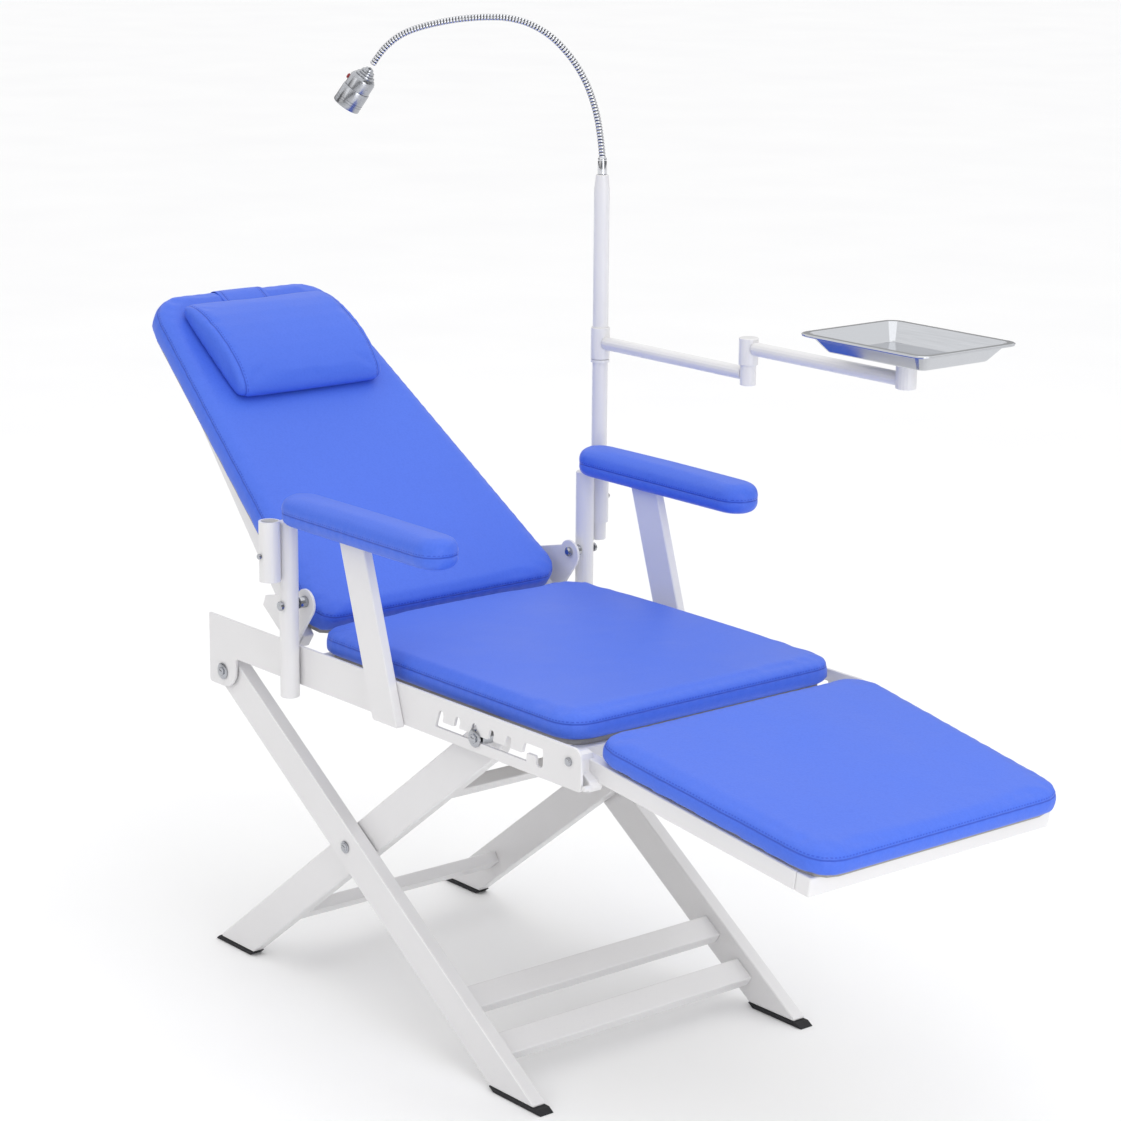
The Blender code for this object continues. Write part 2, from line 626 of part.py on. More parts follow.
def build_legs():
    front_pivot = (LEG_PIVOT[0], 0.0, LEG_PIVOT[1])
    rear_pivot = (SCISSOR[0], 0.0, SCISSOR[1])
    front_slope = math.pi - FRONT_LEG_ANGLE
    rear_slope = REAR_LEG_ANGLE
    rear_along = Vector((math.cos(rear_slope), math.sin(rear_slope)))
    rear_out = Vector((-rear_along.y, rear_along.x))
    for label, side in SIDES:
        y_low, y_high = across(side, FRONT_LEG_INNER, FRONT_LEG_OUTER)
        corners = leg_outline(LEG_PIVOT, front_slope, 0.028, FOOT_CAP)
        leg = powder_coated("front_leg_" + label,
                            plate(rounded(corners, [0.024, 0.0025, 0.0025, 0.024], 3), y_low, y_high,
                                  0.0016), front_pivot)
        for x, z in (LEG_PIVOT, SCISSOR):
            drill(leg, (x, y_low - 0.01, z), (x, y_high + 0.01, z), 0.0043)
        build_foot_cap("front_foot_cap_" + label, corners, y_low, y_high, front_pivot)
        y_low, y_high = across(side, REAR_LEG_INNER, REAR_LEG_OUTER)
        corners = leg_outline(SLOT_PIN, rear_slope, -0.014, FOOT_CAP)
        tip = [tuple(Vector(SLOT_PIN) + rear_along * 0.022 + rear_out * reach)
               for reach in (-0.015, 0.015)]
        leg = powder_coated("rear_leg_" + label,
                            plate(rounded(corners + tip, [0.010, 0.0025, 0.0025, 0.010, 0.014, 0.014], 3),
                                  y_low, y_high, 0.0016), rear_pivot)
        for x, z in (SLOT_PIN, SCISSOR):
            drill(leg, (x, y_low - 0.01, z), (x, y_high + 0.01, z), 0.0043)
        build_foot_cap("rear_foot_cap_" + label, corners, y_low, y_high, rear_pivot)
        build_leg_bolts(label, side, front_pivot, rear_pivot)
    front_along = Vector((math.cos(-FRONT_LEG_ANGLE), math.sin(-FRONT_LEG_ANGLE)))
    for name, reach in (("leg_rung_upper", 0.6900), ("leg_rung_lower", 0.7780)):
        middle = Vector(LEG_PIVOT) + front_along * reach
        build_rung(name, middle, front_along, 0.0400, FRONT_LEG_INNER - GAP, front_pivot)
    for name, reach, depth in (("rear_leg_cross_lower", -0.3250, 0.0330),
                               ("rear_leg_cross_upper", 0.1805, 0.0350)):
        middle = Vector(SCISSOR) + rear_along * reach
        build_rung(name, middle, rear_along, depth, REAR_LEG_INNER - GAP, rear_pivot)


def build_rung(name, middle, along, depth, reach, pivot):
    """A flat rectangular tube across the legs, its broad face in line with them."""
    out = Vector((-along.y, along.x)) * 0.0100
    half = along * (depth / 2.0)
    corners = [tuple(middle - half - out), tuple(middle + half - out), tuple(middle + half + out),
               tuple(middle - half + out)]
    powder_coated(name, plate(rounded(corners, [0.002] * 4, 2), -reach, reach), pivot)


def build_foot_cap(name, corners, y_low, y_high, pivot):
    """The rubber cap under a leg's level cut."""
    xs = sorted((corners[1][0], corners[2][0]))
    lean = (corners[0][0] - corners[1][0]) / (corners[0][1] - corners[1][1])
    rise = FOOT_CAP - GAP
    outline = [(xs[0] - 0.0012 - lean * rise, 0.0), (xs[1] + 0.0012 - lean * rise, 0.0),
               (xs[1] + 0.0012, rise), (xs[0] - 0.0012, rise)]
    mesh_data = plate(outline, y_low - 0.0012, y_high + 0.0012, 0.0008)
    finish(name, mesh_data, RUBBER, 0.75, 0.0, pivot)


def build_leg_bolts(label, side, front_pivot, rear_pivot):
    """The pivot bolt of the front leg, the scissor bolt, and the pin that rides in the slot."""
    rail_inner = RAIL_OUTER - RAIL_THICK
    start = RAIL_OUTER + GAP + 0.0070
    plated("leg_pivot_bolt_" + label,
           turned((LEG_PIVOT[0], side * start, LEG_PIVOT[1]), (0.0, -side, 0.0),
                  ((0.0, 0.0045), (0.0007, 0.0060), (0.0048, 0.0068), (0.0050, 0.0125),
                   (0.0070, 0.0130), (0.0070, 0.0040),
                   (start - rail_inner + GAP, 0.0040), (start - rail_inner + GAP, 0.0110),
                   (start - FRONT_LEG_OUTER - GAP, 0.0110), (start - FRONT_LEG_OUTER - GAP, 0.0040),
                   (start - FRONT_LEG_INNER + GAP, 0.0040), (start - FRONT_LEG_INNER + GAP, 0.0075),
                   (start - FRONT_LEG_INNER + 0.0060, 0.0075), (start - FRONT_LEG_INNER + 0.0070, 0.0060)),
                  12), front_pivot)
    start = FRONT_LEG_OUTER + GAP + 0.0048
    plated("scissor_bolt_" + label,
           turned((SCISSOR[0], side * start, SCISSOR[1]), (0.0, -side, 0.0),
                  ((0.0, 0.0050), (0.0007, 0.0066), (0.0034, 0.0070), (0.0034, 0.0095),
                   (0.0048, 0.0095), (0.0048, 0.0040),
                   (start - FRONT_LEG_INNER + GAP, 0.0040), (start - FRONT_LEG_INNER + GAP, 0.0090),
                   (start - REAR_LEG_OUTER - GAP, 0.0090), (start - REAR_LEG_OUTER - GAP, 0.0040),
                   (start - REAR_LEG_INNER + GAP, 0.0040), (start - REAR_LEG_INNER + GAP, 0.0075),
                   (start - REAR_LEG_INNER + 0.0060, 0.0075), (start - REAR_LEG_INNER + 0.0070, 0.0060)),
                  12), rear_pivot)
    start = RAIL_OUTER + GAP + 0.0075
    plated("slot_pin_" + label,
           turned((SLOT_PIN[0], side * start, SLOT_PIN[1]), (0.0, -side, 0.0),
                  ((0.0, 0.0060), (0.0008, 0.0072), (0.0052, 0.0076), (0.0052, 0.0125),
                   (0.0075, 0.0130), (0.0075, 0.0040),
                   (start - rail_inner + GAP, 0.0040), (start - rail_inner + GAP, 0.0120),
                   (start - REAR_LEG_OUTER - GAP, 0.0120), (start - REAR_LEG_OUTER - GAP, 0.0040),
                   (start - REAR_LEG_INNER + GAP, 0.0040), (start - REAR_LEG_INNER + GAP, 0.0075),
                   (start - REAR_LEG_INNER + 0.0060, 0.0075), (start - REAR_LEG_INNER + 0.0070, 0.0060)),
                  12), rear_pivot)


# ------------------------------------------------------------------ lamp
def goose_point(reach, height):
    """A point in the upright plane the gooseneck bends in."""
    return Vector((SOCKET_X + math.cos(GOOSE_HEADING) * reach, SOCKET_Y + math.sin(GOOSE_HEADING) * reach,
                   height))


def smooth_path(points, steps):
    """A Catmull-Rom curve through the points."""
    path = []
    count = len(points)
    for i in range(count - 1):
        before = points[max(i - 1, 0)]
        start = points[i]
        end = points[i + 1]
        after = points[min(i + 2, count - 1)]
        for k in range(steps):
            t = k / steps
            path.append(0.5 * ((2.0 * start) + (end - before) * t
                               + (2.0 * before - 5.0 * start + 4.0 * end - after) * t * t
                               + (3.0 * start - before - 3.0 * end + after) * t * t * t))
    path.append(points[-1])
    return path


def build_lamp():
    pole_axis = (SOCKET_X, SOCKET_Y, POLE_LOW)
    powder_coated("lamp_pole",
                  turned(pole_axis, (0.0, 0.0, 1.0),
                         ((0.0, POLE_RADIUS - 0.001), (0.001, POLE_RADIUS),
                          (COLLAR_LOW - POLE_LOW - 0.0050, POLE_RADIUS),
                          (COLLAR_LOW - POLE_LOW - 0.0050, 0.0150),
                          (COLLAR_LOW - POLE_LOW - 0.0006, 0.0150),
                          (COLLAR_LOW - POLE_LOW - 0.0006, POLE_RADIUS),
                          (POLE_HIGH - POLE_LOW - 0.0230, POLE_RADIUS),
                          (POLE_HIGH - POLE_LOW - 0.0015, POLE_TIP_RADIUS),
                          (POLE_HIGH - POLE_LOW, POLE_TIP_RADIUS - 0.001)), 24), pole_axis)
    curve = [goose_point(0.0, 1.2333), goose_point(0.0002, 1.2600), goose_point(0.0070, 1.3120),
             goose_point(0.0180, 1.3530), goose_point(0.0340, 1.3880), goose_point(0.0560, 1.4190),
             goose_point(0.0840, 1.4460), goose_point(0.1160, 1.4640), goose_point(0.1480, 1.4725),
             goose_point(0.1780, 1.4740), goose_point(0.2180, 1.4715), goose_point(0.2580, 1.4650),
             goose_point(0.2970, 1.4550), goose_point(0.3250, 1.4430), goose_point(0.3470, 1.4265),
             goose_point(0.3625, 1.4085), goose_point(0.3738, 1.3915)]
    path = smooth_path(curve, 2)
    radii = [0.0055] * len(path)
    for i in range(3):
        radii[i] = 0.0074
    plated("gooseneck", swept(path, radii, 8), (SOCKET_X, SOCKET_Y, 1.2333))
    neck = goose_point(0.3738, 1.3915)
    face = goose_point(0.4153, 1.3304)
    aim = (face - neck).normalized()
    begin = neck + aim * GAP
    head = plated("lamp_head",
                  turned(begin, aim,
                         ((0.0, 0.0005), (0.0028, 0.0066), (0.0060, 0.0075), (0.0065, 0.0105),
                          (0.0125, 0.0120), (0.0130, 0.0155), (0.0190, 0.0170), (0.0240, 0.0212), (0.0405, 0.0214),
                          (0.0410, 0.0222), (0.0730, 0.0228), (0.0740, 0.0222), (0.0740, 0.0205),
                          (0.0710, 0.0200), (0.0710, 0.0060)), 24), begin)
    up = Vector((math.cos(GOOSE_HEADING) * -aim.z, math.sin(GOOSE_HEADING) * -aim.z,
                 math.hypot(aim.x, aim.y)))
    button_base = begin + aim * 0.0320 + up * 0.0185
    drill(head, button_base - up * 0.0045, button_base + up * 0.0100, 0.0046)
    finish("lamp_switch", turned(button_base - up * 0.0006, up,
                                 ((0.0, 0.0038), (0.0005, 0.0042), (0.0058, 0.0042), (0.0066, 0.0034)),
                                 12), RED, 0.35, 0.0, button_base)


# ------------------------------------------------------------------ tray
def build_tray_arms():
    elbow = (ELBOW_X, SOCKET_Y, 0.9485)
    lower = powder_coated("tray_arm_lower", tube_ring((SOCKET_X, SOCKET_Y), COLLAR_LOW, COLLAR_HIGH,
                                                      POLE_RADIUS + GAP, 0.0152),
                          (SOCKET_X, SOCKET_Y, LOWER_ARM_Z))
    weld(lower, rod((SOCKET_X + 0.0142, SOCKET_Y, LOWER_ARM_Z), (ELBOW_X - 0.0100, SOCKET_Y, LOWER_ARM_Z),
                    ARM_TUBE, 0.0006, 16))
    weld(lower, turned(elbow, (0.0, 0.0, 1.0),
                       ((0.0, 0.0112), (0.0010, 0.0123), (0.0310, 0.0123), (0.0310, 0.0070),
                        (0.0640, 0.0070), (0.0650, 0.0060)), 20))
    upper_low = 0.9798
    upper = powder_coated("tray_arm_upper", capped_hub((ELBOW_X, SOCKET_Y), upper_low, 1.0210, 0.0073,
                                                       0.0150, 0.0345),
                          (ELBOW_X, SOCKET_Y, UPPER_ARM_Z))
    weld(upper, rod((ELBOW_X + 0.0140, SOCKET_Y, UPPER_ARM_Z), (TRAY_HUB_X - 0.0100, SOCKET_Y, UPPER_ARM_Z),
                    ARM_TUBE, 0.0006, 16))
    weld(upper, turned((TRAY_HUB_X, SOCKET_Y, 0.9930), (0.0, 0.0, 1.0),
                       ((0.0, 0.0140), (0.0012, 0.0154), (0.0455, 0.0154), (0.0467, 0.0142)), 20))


def tube_ring(centre, z_low, z_high, bore, outer):
    """A plain collar with a through bore."""
    mesh_data = turned((centre[0], centre[1], z_low), (0.0, 0.0, 1.0),
                       ((0.0, bore), (0.0, outer - 0.0008), (0.0008, outer),
                        (z_high - z_low - 0.0008, outer), (z_high - z_low, outer - 0.0008),
                        (z_high - z_low, bore), (0.0, bore)), 24)
    remove_caps(mesh_data)
    return mesh_data


def capped_hub(centre, z_low, z_high, bore, outer, depth):
    """A hub open below over a blind bore and closed above."""
    height = z_high - z_low
    return turned((centre[0], centre[1], z_low), (0.0, 0.0, 1.0),
                  ((depth, 0.0005), (depth, bore), (0.0, bore), (0.0, outer - 0.0008), (0.0008, outer),
                   (height - 0.0010, outer), (height, outer - 0.0010)), 20)


def tray_ring(inset, z):
    """One level of the tray: a rounded rectangle pulled in from the rim's outer edge."""
    half_x = 0.1270 - inset
    half_y = 0.0990 - inset
    corner = max(0.004, 0.020 - inset * 0.30)
    outline = rounded([(-half_x, -half_y), (half_x, -half_y), (half_x, half_y), (-half_x, half_y)],
                      [corner] * 4, 4)
    return [(TRAY_HUB_X + x, SOCKET_Y + y, z) for x, y in outline]


def build_tray():
    rim = TRAY_RIM_Z
    base = TRAY_BASE_Z
    rings = [tray_ring(0.0345, base), tray_ring(0.0310, base), tray_ring(0.0292, base + 0.0015),
             tray_ring(0.0100, rim - 0.0028), tray_ring(0.0088, rim - 0.0016),
             tray_ring(0.0022, rim - 0.0016), tray_ring(0.0020, rim - 0.0036), tray_ring(0.0006, rim - 0.0038),
             tray_ring(0.0, rim - 0.0026), tray_ring(0.0, rim - 0.0010), tray_ring(0.0012, rim),
             tray_ring(0.0092, rim), tray_ring(0.0112, rim - 0.0016), tray_ring(0.0300, base + 0.0026),
             tray_ring(0.0320, base + 0.0013), tray_ring(0.0360, base + 0.0013)]
    finish("instrument_tray", loft(rings), STEEL, 0.18, 1.0, (TRAY_HUB_X, SOCKET_Y, base))


# ------------------------------------------------------------------ assembly
def move_to_origin():
    """Shifts the whole chair so that the middle of its footprint is the origin."""
    for body in bpy.context.scene.objects:
        body.location.x -= CENTRE_X
        body.location.y -= CENTRE_Y


for leftover in list(bpy.data.objects):
    bpy.data.objects.remove(leftover)
build_seat_frame()
build_armrests()
build_back()
build_headrest()
build_footrest()
build_legs()
build_lamp()
build_tray_arms()
build_tray()
move_to_origin()
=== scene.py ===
"""A folding dental chair in white powder-coated steel and blue leatherette, with lamp and tray.

The CAD frame carries the steelwork. This file covers the foam in its upholstery, turns the
bolts, the gooseneck and the lamp in full detail, and gives every part its finish.
"""
import math

import bpy
import numpy
from mathutils import Matrix, Vector


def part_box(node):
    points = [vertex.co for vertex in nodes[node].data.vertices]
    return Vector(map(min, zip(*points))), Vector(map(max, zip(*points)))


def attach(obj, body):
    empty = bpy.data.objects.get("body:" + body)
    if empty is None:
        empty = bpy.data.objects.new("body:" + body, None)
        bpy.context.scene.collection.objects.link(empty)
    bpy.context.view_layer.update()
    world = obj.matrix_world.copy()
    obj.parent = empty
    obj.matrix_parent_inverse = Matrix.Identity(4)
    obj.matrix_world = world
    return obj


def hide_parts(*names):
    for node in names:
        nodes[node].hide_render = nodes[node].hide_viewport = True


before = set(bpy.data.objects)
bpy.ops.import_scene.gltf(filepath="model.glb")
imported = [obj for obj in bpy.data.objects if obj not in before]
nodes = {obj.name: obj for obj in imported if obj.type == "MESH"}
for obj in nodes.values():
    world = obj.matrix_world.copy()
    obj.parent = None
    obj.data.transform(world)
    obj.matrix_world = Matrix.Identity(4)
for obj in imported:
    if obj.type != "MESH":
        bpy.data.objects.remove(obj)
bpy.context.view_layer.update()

# ---------------------------------------------------------------- camera and studio
# A long lens looks down a little on the chair from the foot end of its near side.
# Plain white paper sweeps under the chair; three soft boxes and a bright room light it.
camera_data = bpy.data.cameras.new("studio_camera")
camera_data.lens = 97.816
camera_data.sensor_width = 36.0
camera_data.clip_end = 200.0
camera = bpy.data.objects.new("studio_camera", camera_data)
bpy.context.scene.collection.objects.link(camera)
camera.matrix_world = (Matrix.Translation((3.41358, -2.82386, 1.80479))
                       @ Matrix.Rotation(math.radians(50.471), 4, "Z")
                       @ Matrix.Rotation(math.radians(75.984), 4, "X")
                       @ Matrix.Rotation(math.radians(0.485), 4, "Z"))
bpy.context.scene.camera = camera
bpy.context.scene.view_settings.view_transform = "Standard"


def hex_colour(text):
    """An sRGB hex colour as the linear values a shader takes."""
    parts = [int(text[i:i + 2], 16) / 255.0 for i in (1, 3, 5)]
    linear = [c / 12.92 if c <= 0.04045 else ((c + 0.055) / 1.055) ** 2.4 for c in parts]
    return tuple(linear) + (1.0,)


def add_node(tree, kind, inputs=None, **settings):
    """Adds one node with its settings; its inputs take values or other nodes' outputs."""
    node = tree.nodes.new(kind)
    for name, value in settings.items():
        setattr(node, name, value)
    for socket, value in (inputs or {}).items():
        if isinstance(value, bpy.types.NodeSocket):
            tree.links.new(value, node.inputs[socket])
        else:
            node.inputs[socket].default_value = value
    return node


def start_material(name, **constants):
    """A new material with its shader's constant values set; returns it, its tree and its shader."""
    material = bpy.data.materials.new(name)
    material.use_nodes = True
    shader = material.node_tree.nodes["Principled BSDF"]
    for socket, value in constants.items():
        shader.inputs[socket.replace("_", " ")].default_value = value
    return material, material.node_tree, shader


def deselect_all():
    for item in bpy.context.selected_objects:
        item.select_set(False)


room = bpy.data.worlds.new("bright_studio")
room.use_nodes = True
room_light = room.node_tree.nodes["Background"]
up_and_down = add_node(room.node_tree, "ShaderNodeTexCoord").outputs["Generated"]
height = add_node(room.node_tree, "ShaderNodeSeparateXYZ", {"Vector": up_and_down}).outputs["Z"]
sky = add_node(room.node_tree, "ShaderNodeMapRange",
               {"Value": height, "From Min": 0.04, "From Max": 0.42, "To Min": 0.16,
                "To Max": 1.10},
               interpolation_type="SMOOTHSTEP")
# Two tall black flags off to the sides give the chrome something dark to mirror.
flagged = sky.outputs["Result"]
for turn, inner, outer in ((-112.0, 0.955, 0.970), (12.0, 0.960, 0.975)):
    toward = (math.cos(math.radians(turn)), math.sin(math.radians(turn)), 0.25)
    facing = add_node(room.node_tree, "ShaderNodeVectorMath", {0: up_and_down, 1: toward},
                      operation="DOT_PRODUCT")
    light = add_node(room.node_tree, "ShaderNodeMapRange",
                     {"Value": facing.outputs["Value"], "From Min": inner, "From Max": outer,
                      "To Min": 1.0, "To Max": 0.04})
    flagged = add_node(room.node_tree, "ShaderNodeMath", {0: flagged, 1: light.outputs["Result"]},
                       operation="MULTIPLY").outputs["Value"]
# Seen directly, the room is plain near-white like the paper; only the light it throws has flags.
seen = add_node(room.node_tree, "ShaderNodeLightPath").outputs["Is Camera Ray"]
backdrop = add_node(room.node_tree, "ShaderNodeMix", {0: seen, 2: flagged, 3: 0.93},
                    data_type="FLOAT").outputs[0]
room.node_tree.links.new(backdrop, room_light.inputs["Color"])
room_light.inputs["Strength"].default_value = 1.06
bpy.context.scene.world = room

for name, place, aim, side, power, tint in (
        ("key_soft_box", (-1.0, -4.0, 2.6), (0.0, 0.0, 0.5), 2.6, 19.0, "#FFFDFA"),
        ("top_soft_box", (0.4, 0.6, 4.2), (0.1, 0.0, 0.5), 2.8, 12.0, "#FFFFFF"),
        ("front_soft_box", (4.4, -0.6, 1.5), (0.0, 0.0, 0.3), 2.4, 56.0, "#FCFDFF")):
    lamp_data = bpy.data.lights.new(name, "AREA")
    lamp_data.size = side
    lamp_data.energy = power
    lamp_data.color = hex_colour(tint)[:3]
    soft_box = bpy.data.objects.new(name, lamp_data)
    soft_box.location = place
    soft_box.rotation_euler = (Vector(aim) - Vector(place)).to_track_quat("-Z", "Y").to_euler()
    bpy.context.scene.collection.objects.link(soft_box)

deselect_all()
bpy.ops.mesh.primitive_plane_add(size=160.0, location=(0.0, 0.0, -0.0004))
floor = bpy.context.active_object
floor.name = "studio_floor"
bpy.ops.object.transform_apply(location=True)
# Matt white background paper: even, with the faintest cloudiness of its fibre.
paper, tree, shader = start_material("white_background_paper", Roughness=0.85)
object_place = add_node(tree, "ShaderNodeTexCoord").outputs["Object"]
fibre = add_node(tree, "ShaderNodeTexNoise", {"Vector": object_place, "Scale": 1.5, "Detail": 3.0})
shade = add_node(tree, "ShaderNodeMix", {"Factor": fibre.outputs["Fac"], "A": hex_colour("#F4F4F5"),
                                         "B": hex_colour("#FAFAFA")}, data_type="RGBA")
tree.links.new(shade.outputs["Result"], shader.inputs["Base Color"])
floor.data.materials.append(paper)

# ---------------------------------------------------------------- white steelwork
# Rails are pressed steel plate, legs and rungs flat tube, pole and arms round tube.
# All are dipped in zinc phosphate and powder coated glossy white, then baked.
# Baked polyester powder: white with a trace of blue, a soft gloss, and the orange peel that
# melting powder leaves, drawn at 4 mm so it shows; handling greys it a little near the floor.
powder, tree, shader = start_material("baked_polyester_powder_coat", Roughness=0.34,
                                      Coat_Weight=0.25, Coat_Roughness=0.18)
object_place = add_node(tree, "ShaderNodeTexCoord").outputs["Object"]
cloud = add_node(tree, "ShaderNodeTexNoise", {"Vector": object_place, "Scale": 7.0, "Detail": 4.0})
base = add_node(tree, "ShaderNodeMix", {"Factor": cloud.outputs["Fac"], "A": hex_colour("#DBDADB"),
                                        "B": hex_colour("#E5E4E5")}, data_type="RGBA")
stretch = add_node(tree, "ShaderNodeMapping", {"Vector": object_place, "Scale": (9.0, 9.0, 60.0)})
rubs = add_node(tree, "ShaderNodeTexNoise", {"Vector": stretch.outputs["Vector"], "Scale": 14.0,
                                             "Detail": 6.0, "Roughness": 0.7})
rub_mask = add_node(tree, "ShaderNodeMapRange", {"Value": rubs.outputs["Fac"], "From Min": 0.60,
                                                 "From Max": 0.76, "To Max": 0.35})
level = add_node(tree, "ShaderNodeSeparateXYZ", {"Vector": object_place}).outputs["Z"]
low_down = add_node(tree, "ShaderNodeMapRange", {"Value": level, "From Min": 0.02, "From Max": 0.16,
                                                 "To Min": 1.0, "To Max": 0.25})
wear = add_node(tree, "ShaderNodeMath", {0: rub_mask.outputs["Result"],
                                         1: low_down.outputs["Result"]}, operation="MULTIPLY")
worn = add_node(tree, "ShaderNodeMix", {"Factor": wear.outputs["Value"],
                                        "A": base.outputs["Result"],
                                        "B": hex_colour("#B9BBBF")}, data_type="RGBA")
tree.links.new(worn.outputs["Result"], shader.inputs["Base Color"])
gloss = add_node(tree, "ShaderNodeMapRange", {"Value": cloud.outputs["Fac"], "From Min": 0.3,
                                              "From Max": 0.7, "To Min": 0.28, "To Max": 0.40})
tree.links.new(gloss.outputs["Result"], shader.inputs["Roughness"])
peel = add_node(tree, "ShaderNodeTexNoise", {"Vector": object_place, "Scale": 250.0, "Detail": 1.0})
peel_bump = add_node(tree, "ShaderNodeBump", {"Height": peel.outputs["Fac"], "Strength": 0.10,
                                              "Distance": 0.0003})
tree.links.new(peel_bump.outputs["Normal"], shader.inputs["Normal"])

steelwork = ["seat_cross_tube_rear", "seat_cross_tube_front", "back_cross_bar_lower",
             "back_cross_bar_upper", "footrest_cross_bar", "leg_rung_upper", "leg_rung_lower",
             "rear_leg_cross_lower", "rear_leg_cross_upper", "lamp_pole", "tray_arm_lower",
             "tray_arm_upper"]
for part in ("side_rail", "armrest_upright", "armrest_strut", "pole_socket", "back_side_bar",
             "back_bracket", "footrest_side_bar", "front_leg", "rear_leg"):
    steelwork += [part + "_near", part + "_far"]
for name in steelwork:
    nodes[name].material_slots[0].material = powder

# ---------------------------------------------------------------- rubber feet
# Each leg's level cut stands on a thin moulded rubber shoe, pressed on and glued.
# Black nitrile rubber: nearly matt, greyed in small patches by floor dust.
nitrile, tree, shader = start_material("moulded_nitrile_rubber", Roughness=0.82)
object_place = add_node(tree, "ShaderNodeTexCoord").outputs["Object"]
dust = add_node(tree, "ShaderNodeTexNoise", {"Vector": object_place, "Scale": 120.0, "Detail": 5.0})
shade = add_node(tree, "ShaderNodeMix", {"Factor": dust.outputs["Fac"], "A": hex_colour("#17171A"),
                                         "B": hex_colour("#2C2C2F")}, data_type="RGBA")
tree.links.new(shade.outputs["Result"], shader.inputs["Base Color"])
skin = add_node(tree, "ShaderNodeBump", {"Height": dust.outputs["Fac"], "Strength": 0.3,
                                         "Distance": 0.0004})
tree.links.new(skin.outputs["Normal"], shader.inputs["Normal"])
for name in ("front_foot_cap_near", "front_foot_cap_far", "rear_foot_cap_near",
             "rear_foot_cap_far"):
    nodes[name].material_slots[0].material = nitrile

# ---------------------------------------------------------------- backing boards
# The foam is glued to birch plywood, 5 mm thick under the footrest and 8 mm elsewhere,
# which is sealed grey and screwed to the steel bars.
# Sealed plywood: grey-brown, open grain along the board's length, a dull seal coat.
plywood, tree, shader = start_material("sealed_birch_plywood", Roughness=0.66)
object_place = add_node(tree, "ShaderNodeTexCoord").outputs["Object"]
along = add_node(tree, "ShaderNodeMapping", {"Vector": object_place, "Scale": (3.0, 60.0, 60.0)})
grain = add_node(tree, "ShaderNodeTexNoise", {"Vector": along.outputs["Vector"], "Scale": 4.0,
                                              "Detail": 8.0, "Roughness": 0.65})
shade = add_node(tree, "ShaderNodeMix", {"Factor": grain.outputs["Fac"], "A": hex_colour("#86837E"),
                                         "B": hex_colour("#A8A5A0")}, data_type="RGBA")
tree.links.new(shade.outputs["Result"], shader.inputs["Base Color"])
pores = add_node(tree, "ShaderNodeBump", {"Height": grain.outputs["Fac"], "Strength": 0.35,
                                          "Distance": 0.0005})
tree.links.new(pores.outputs["Normal"], shader.inputs["Normal"])
for name in ("seat_board", "back_board", "footrest_board"):
    nodes[name].material_slots[0].material = plywood

# ---------------------------------------------------------------- upholstered cushions
# Seat, back, footrest and armrests are cut foam on board under a sewn boxed cover:
# a top panel and a side band meet in a seam just under the top edge, with one row of stitches.
# PU-coated leatherette: satin, an embossed grain of about 1.5 mm drawn at 3 mm so it shows,
# a slow cloudiness of stretch, painted shade in the seam's crease and short stitches beside it.
leatherette, tree, shader = start_material("embossed_pu_leatherette", Roughness=0.46,
                                           Specular_IOR_Level=0.30, Sheen_Weight=0.02,
                                           Sheen_Roughness=0.5)
object_place = add_node(tree, "ShaderNodeTexCoord").outputs["Object"]
stretch_cloud = add_node(tree, "ShaderNodeTexNoise", {"Vector": object_place, "Scale": 5.0,
                                                      "Detail": 5.0, "Roughness": 0.55})
dye = add_node(tree, "ShaderNodeMix", {"Factor": stretch_cloud.outputs["Fac"],
                                       "A": hex_colour("#4369D8"), "B": hex_colour("#4F74E3")},
               data_type="RGBA")
grain = add_node(tree, "ShaderNodeTexVoronoi", {"Vector": object_place, "Scale": 330.0},
                 feature="SMOOTH_F1")
valley = add_node(tree, "ShaderNodeMapRange", {"Value": grain.outputs["Distance"], "From Min": 0.25,
                                               "From Max": 0.75, "To Max": 0.16})
grained = add_node(tree, "ShaderNodeMix", {"Factor": valley.outputs["Result"],
                                           "A": dye.outputs["Result"], "B": hex_colour("#3354C6")},
                   data_type="RGBA")
seam_gap = add_node(tree, "ShaderNodeAttribute", attribute_name="seam_gap").outputs["Fac"]
seam_run = add_node(tree, "ShaderNodeAttribute", attribute_name="seam_run").outputs["Fac"]
beside = add_node(tree, "ShaderNodeMath", {0: seam_gap}, operation="ABSOLUTE").outputs["Value"]
# The seam's crease is sunk by a bump and darkened in colour with painted shade.
seam_crease_and_shade = add_node(tree, "ShaderNodeMapRange", {"Value": beside, "From Min": 0.0003,
                                               "From Max": 0.0016, "To Min": 1.0, "To Max": 0.0})
crease_painted_shade = add_node(tree, "ShaderNodeMix", {"Factor": seam_crease_and_shade.outputs["Result"],
                                           "A": grained.outputs["Result"],
                                           "B": hex_colour("#3253C4")}, data_type="RGBA")
row = add_node(tree, "ShaderNodeMath", {0: seam_gap, 1: 0.0034, 2: 0.0008}, operation="COMPARE")
stitch_spacing = 0.0055
step = add_node(tree, "ShaderNodeMath", {0: seam_run, 1: 2.0 * math.pi / stitch_spacing},
                operation="MULTIPLY")
wave = add_node(tree, "ShaderNodeMath", {0: step.outputs["Value"]}, operation="SINE")
dash = add_node(tree, "ShaderNodeMath", {0: wave.outputs["Value"], 1: -0.25},
                operation="GREATER_THAN")
stitch = add_node(tree, "ShaderNodeMath", {0: row.outputs["Value"], 1: dash.outputs["Value"]},
                  operation="MULTIPLY")
sewn = add_node(tree, "ShaderNodeMix", {"Factor": stitch.outputs["Value"],
                                        "A": crease_painted_shade.outputs["Result"], "B": hex_colour("#3658CC")},
                data_type="RGBA")
tree.links.new(sewn.outputs["Result"], shader.inputs["Base Color"])
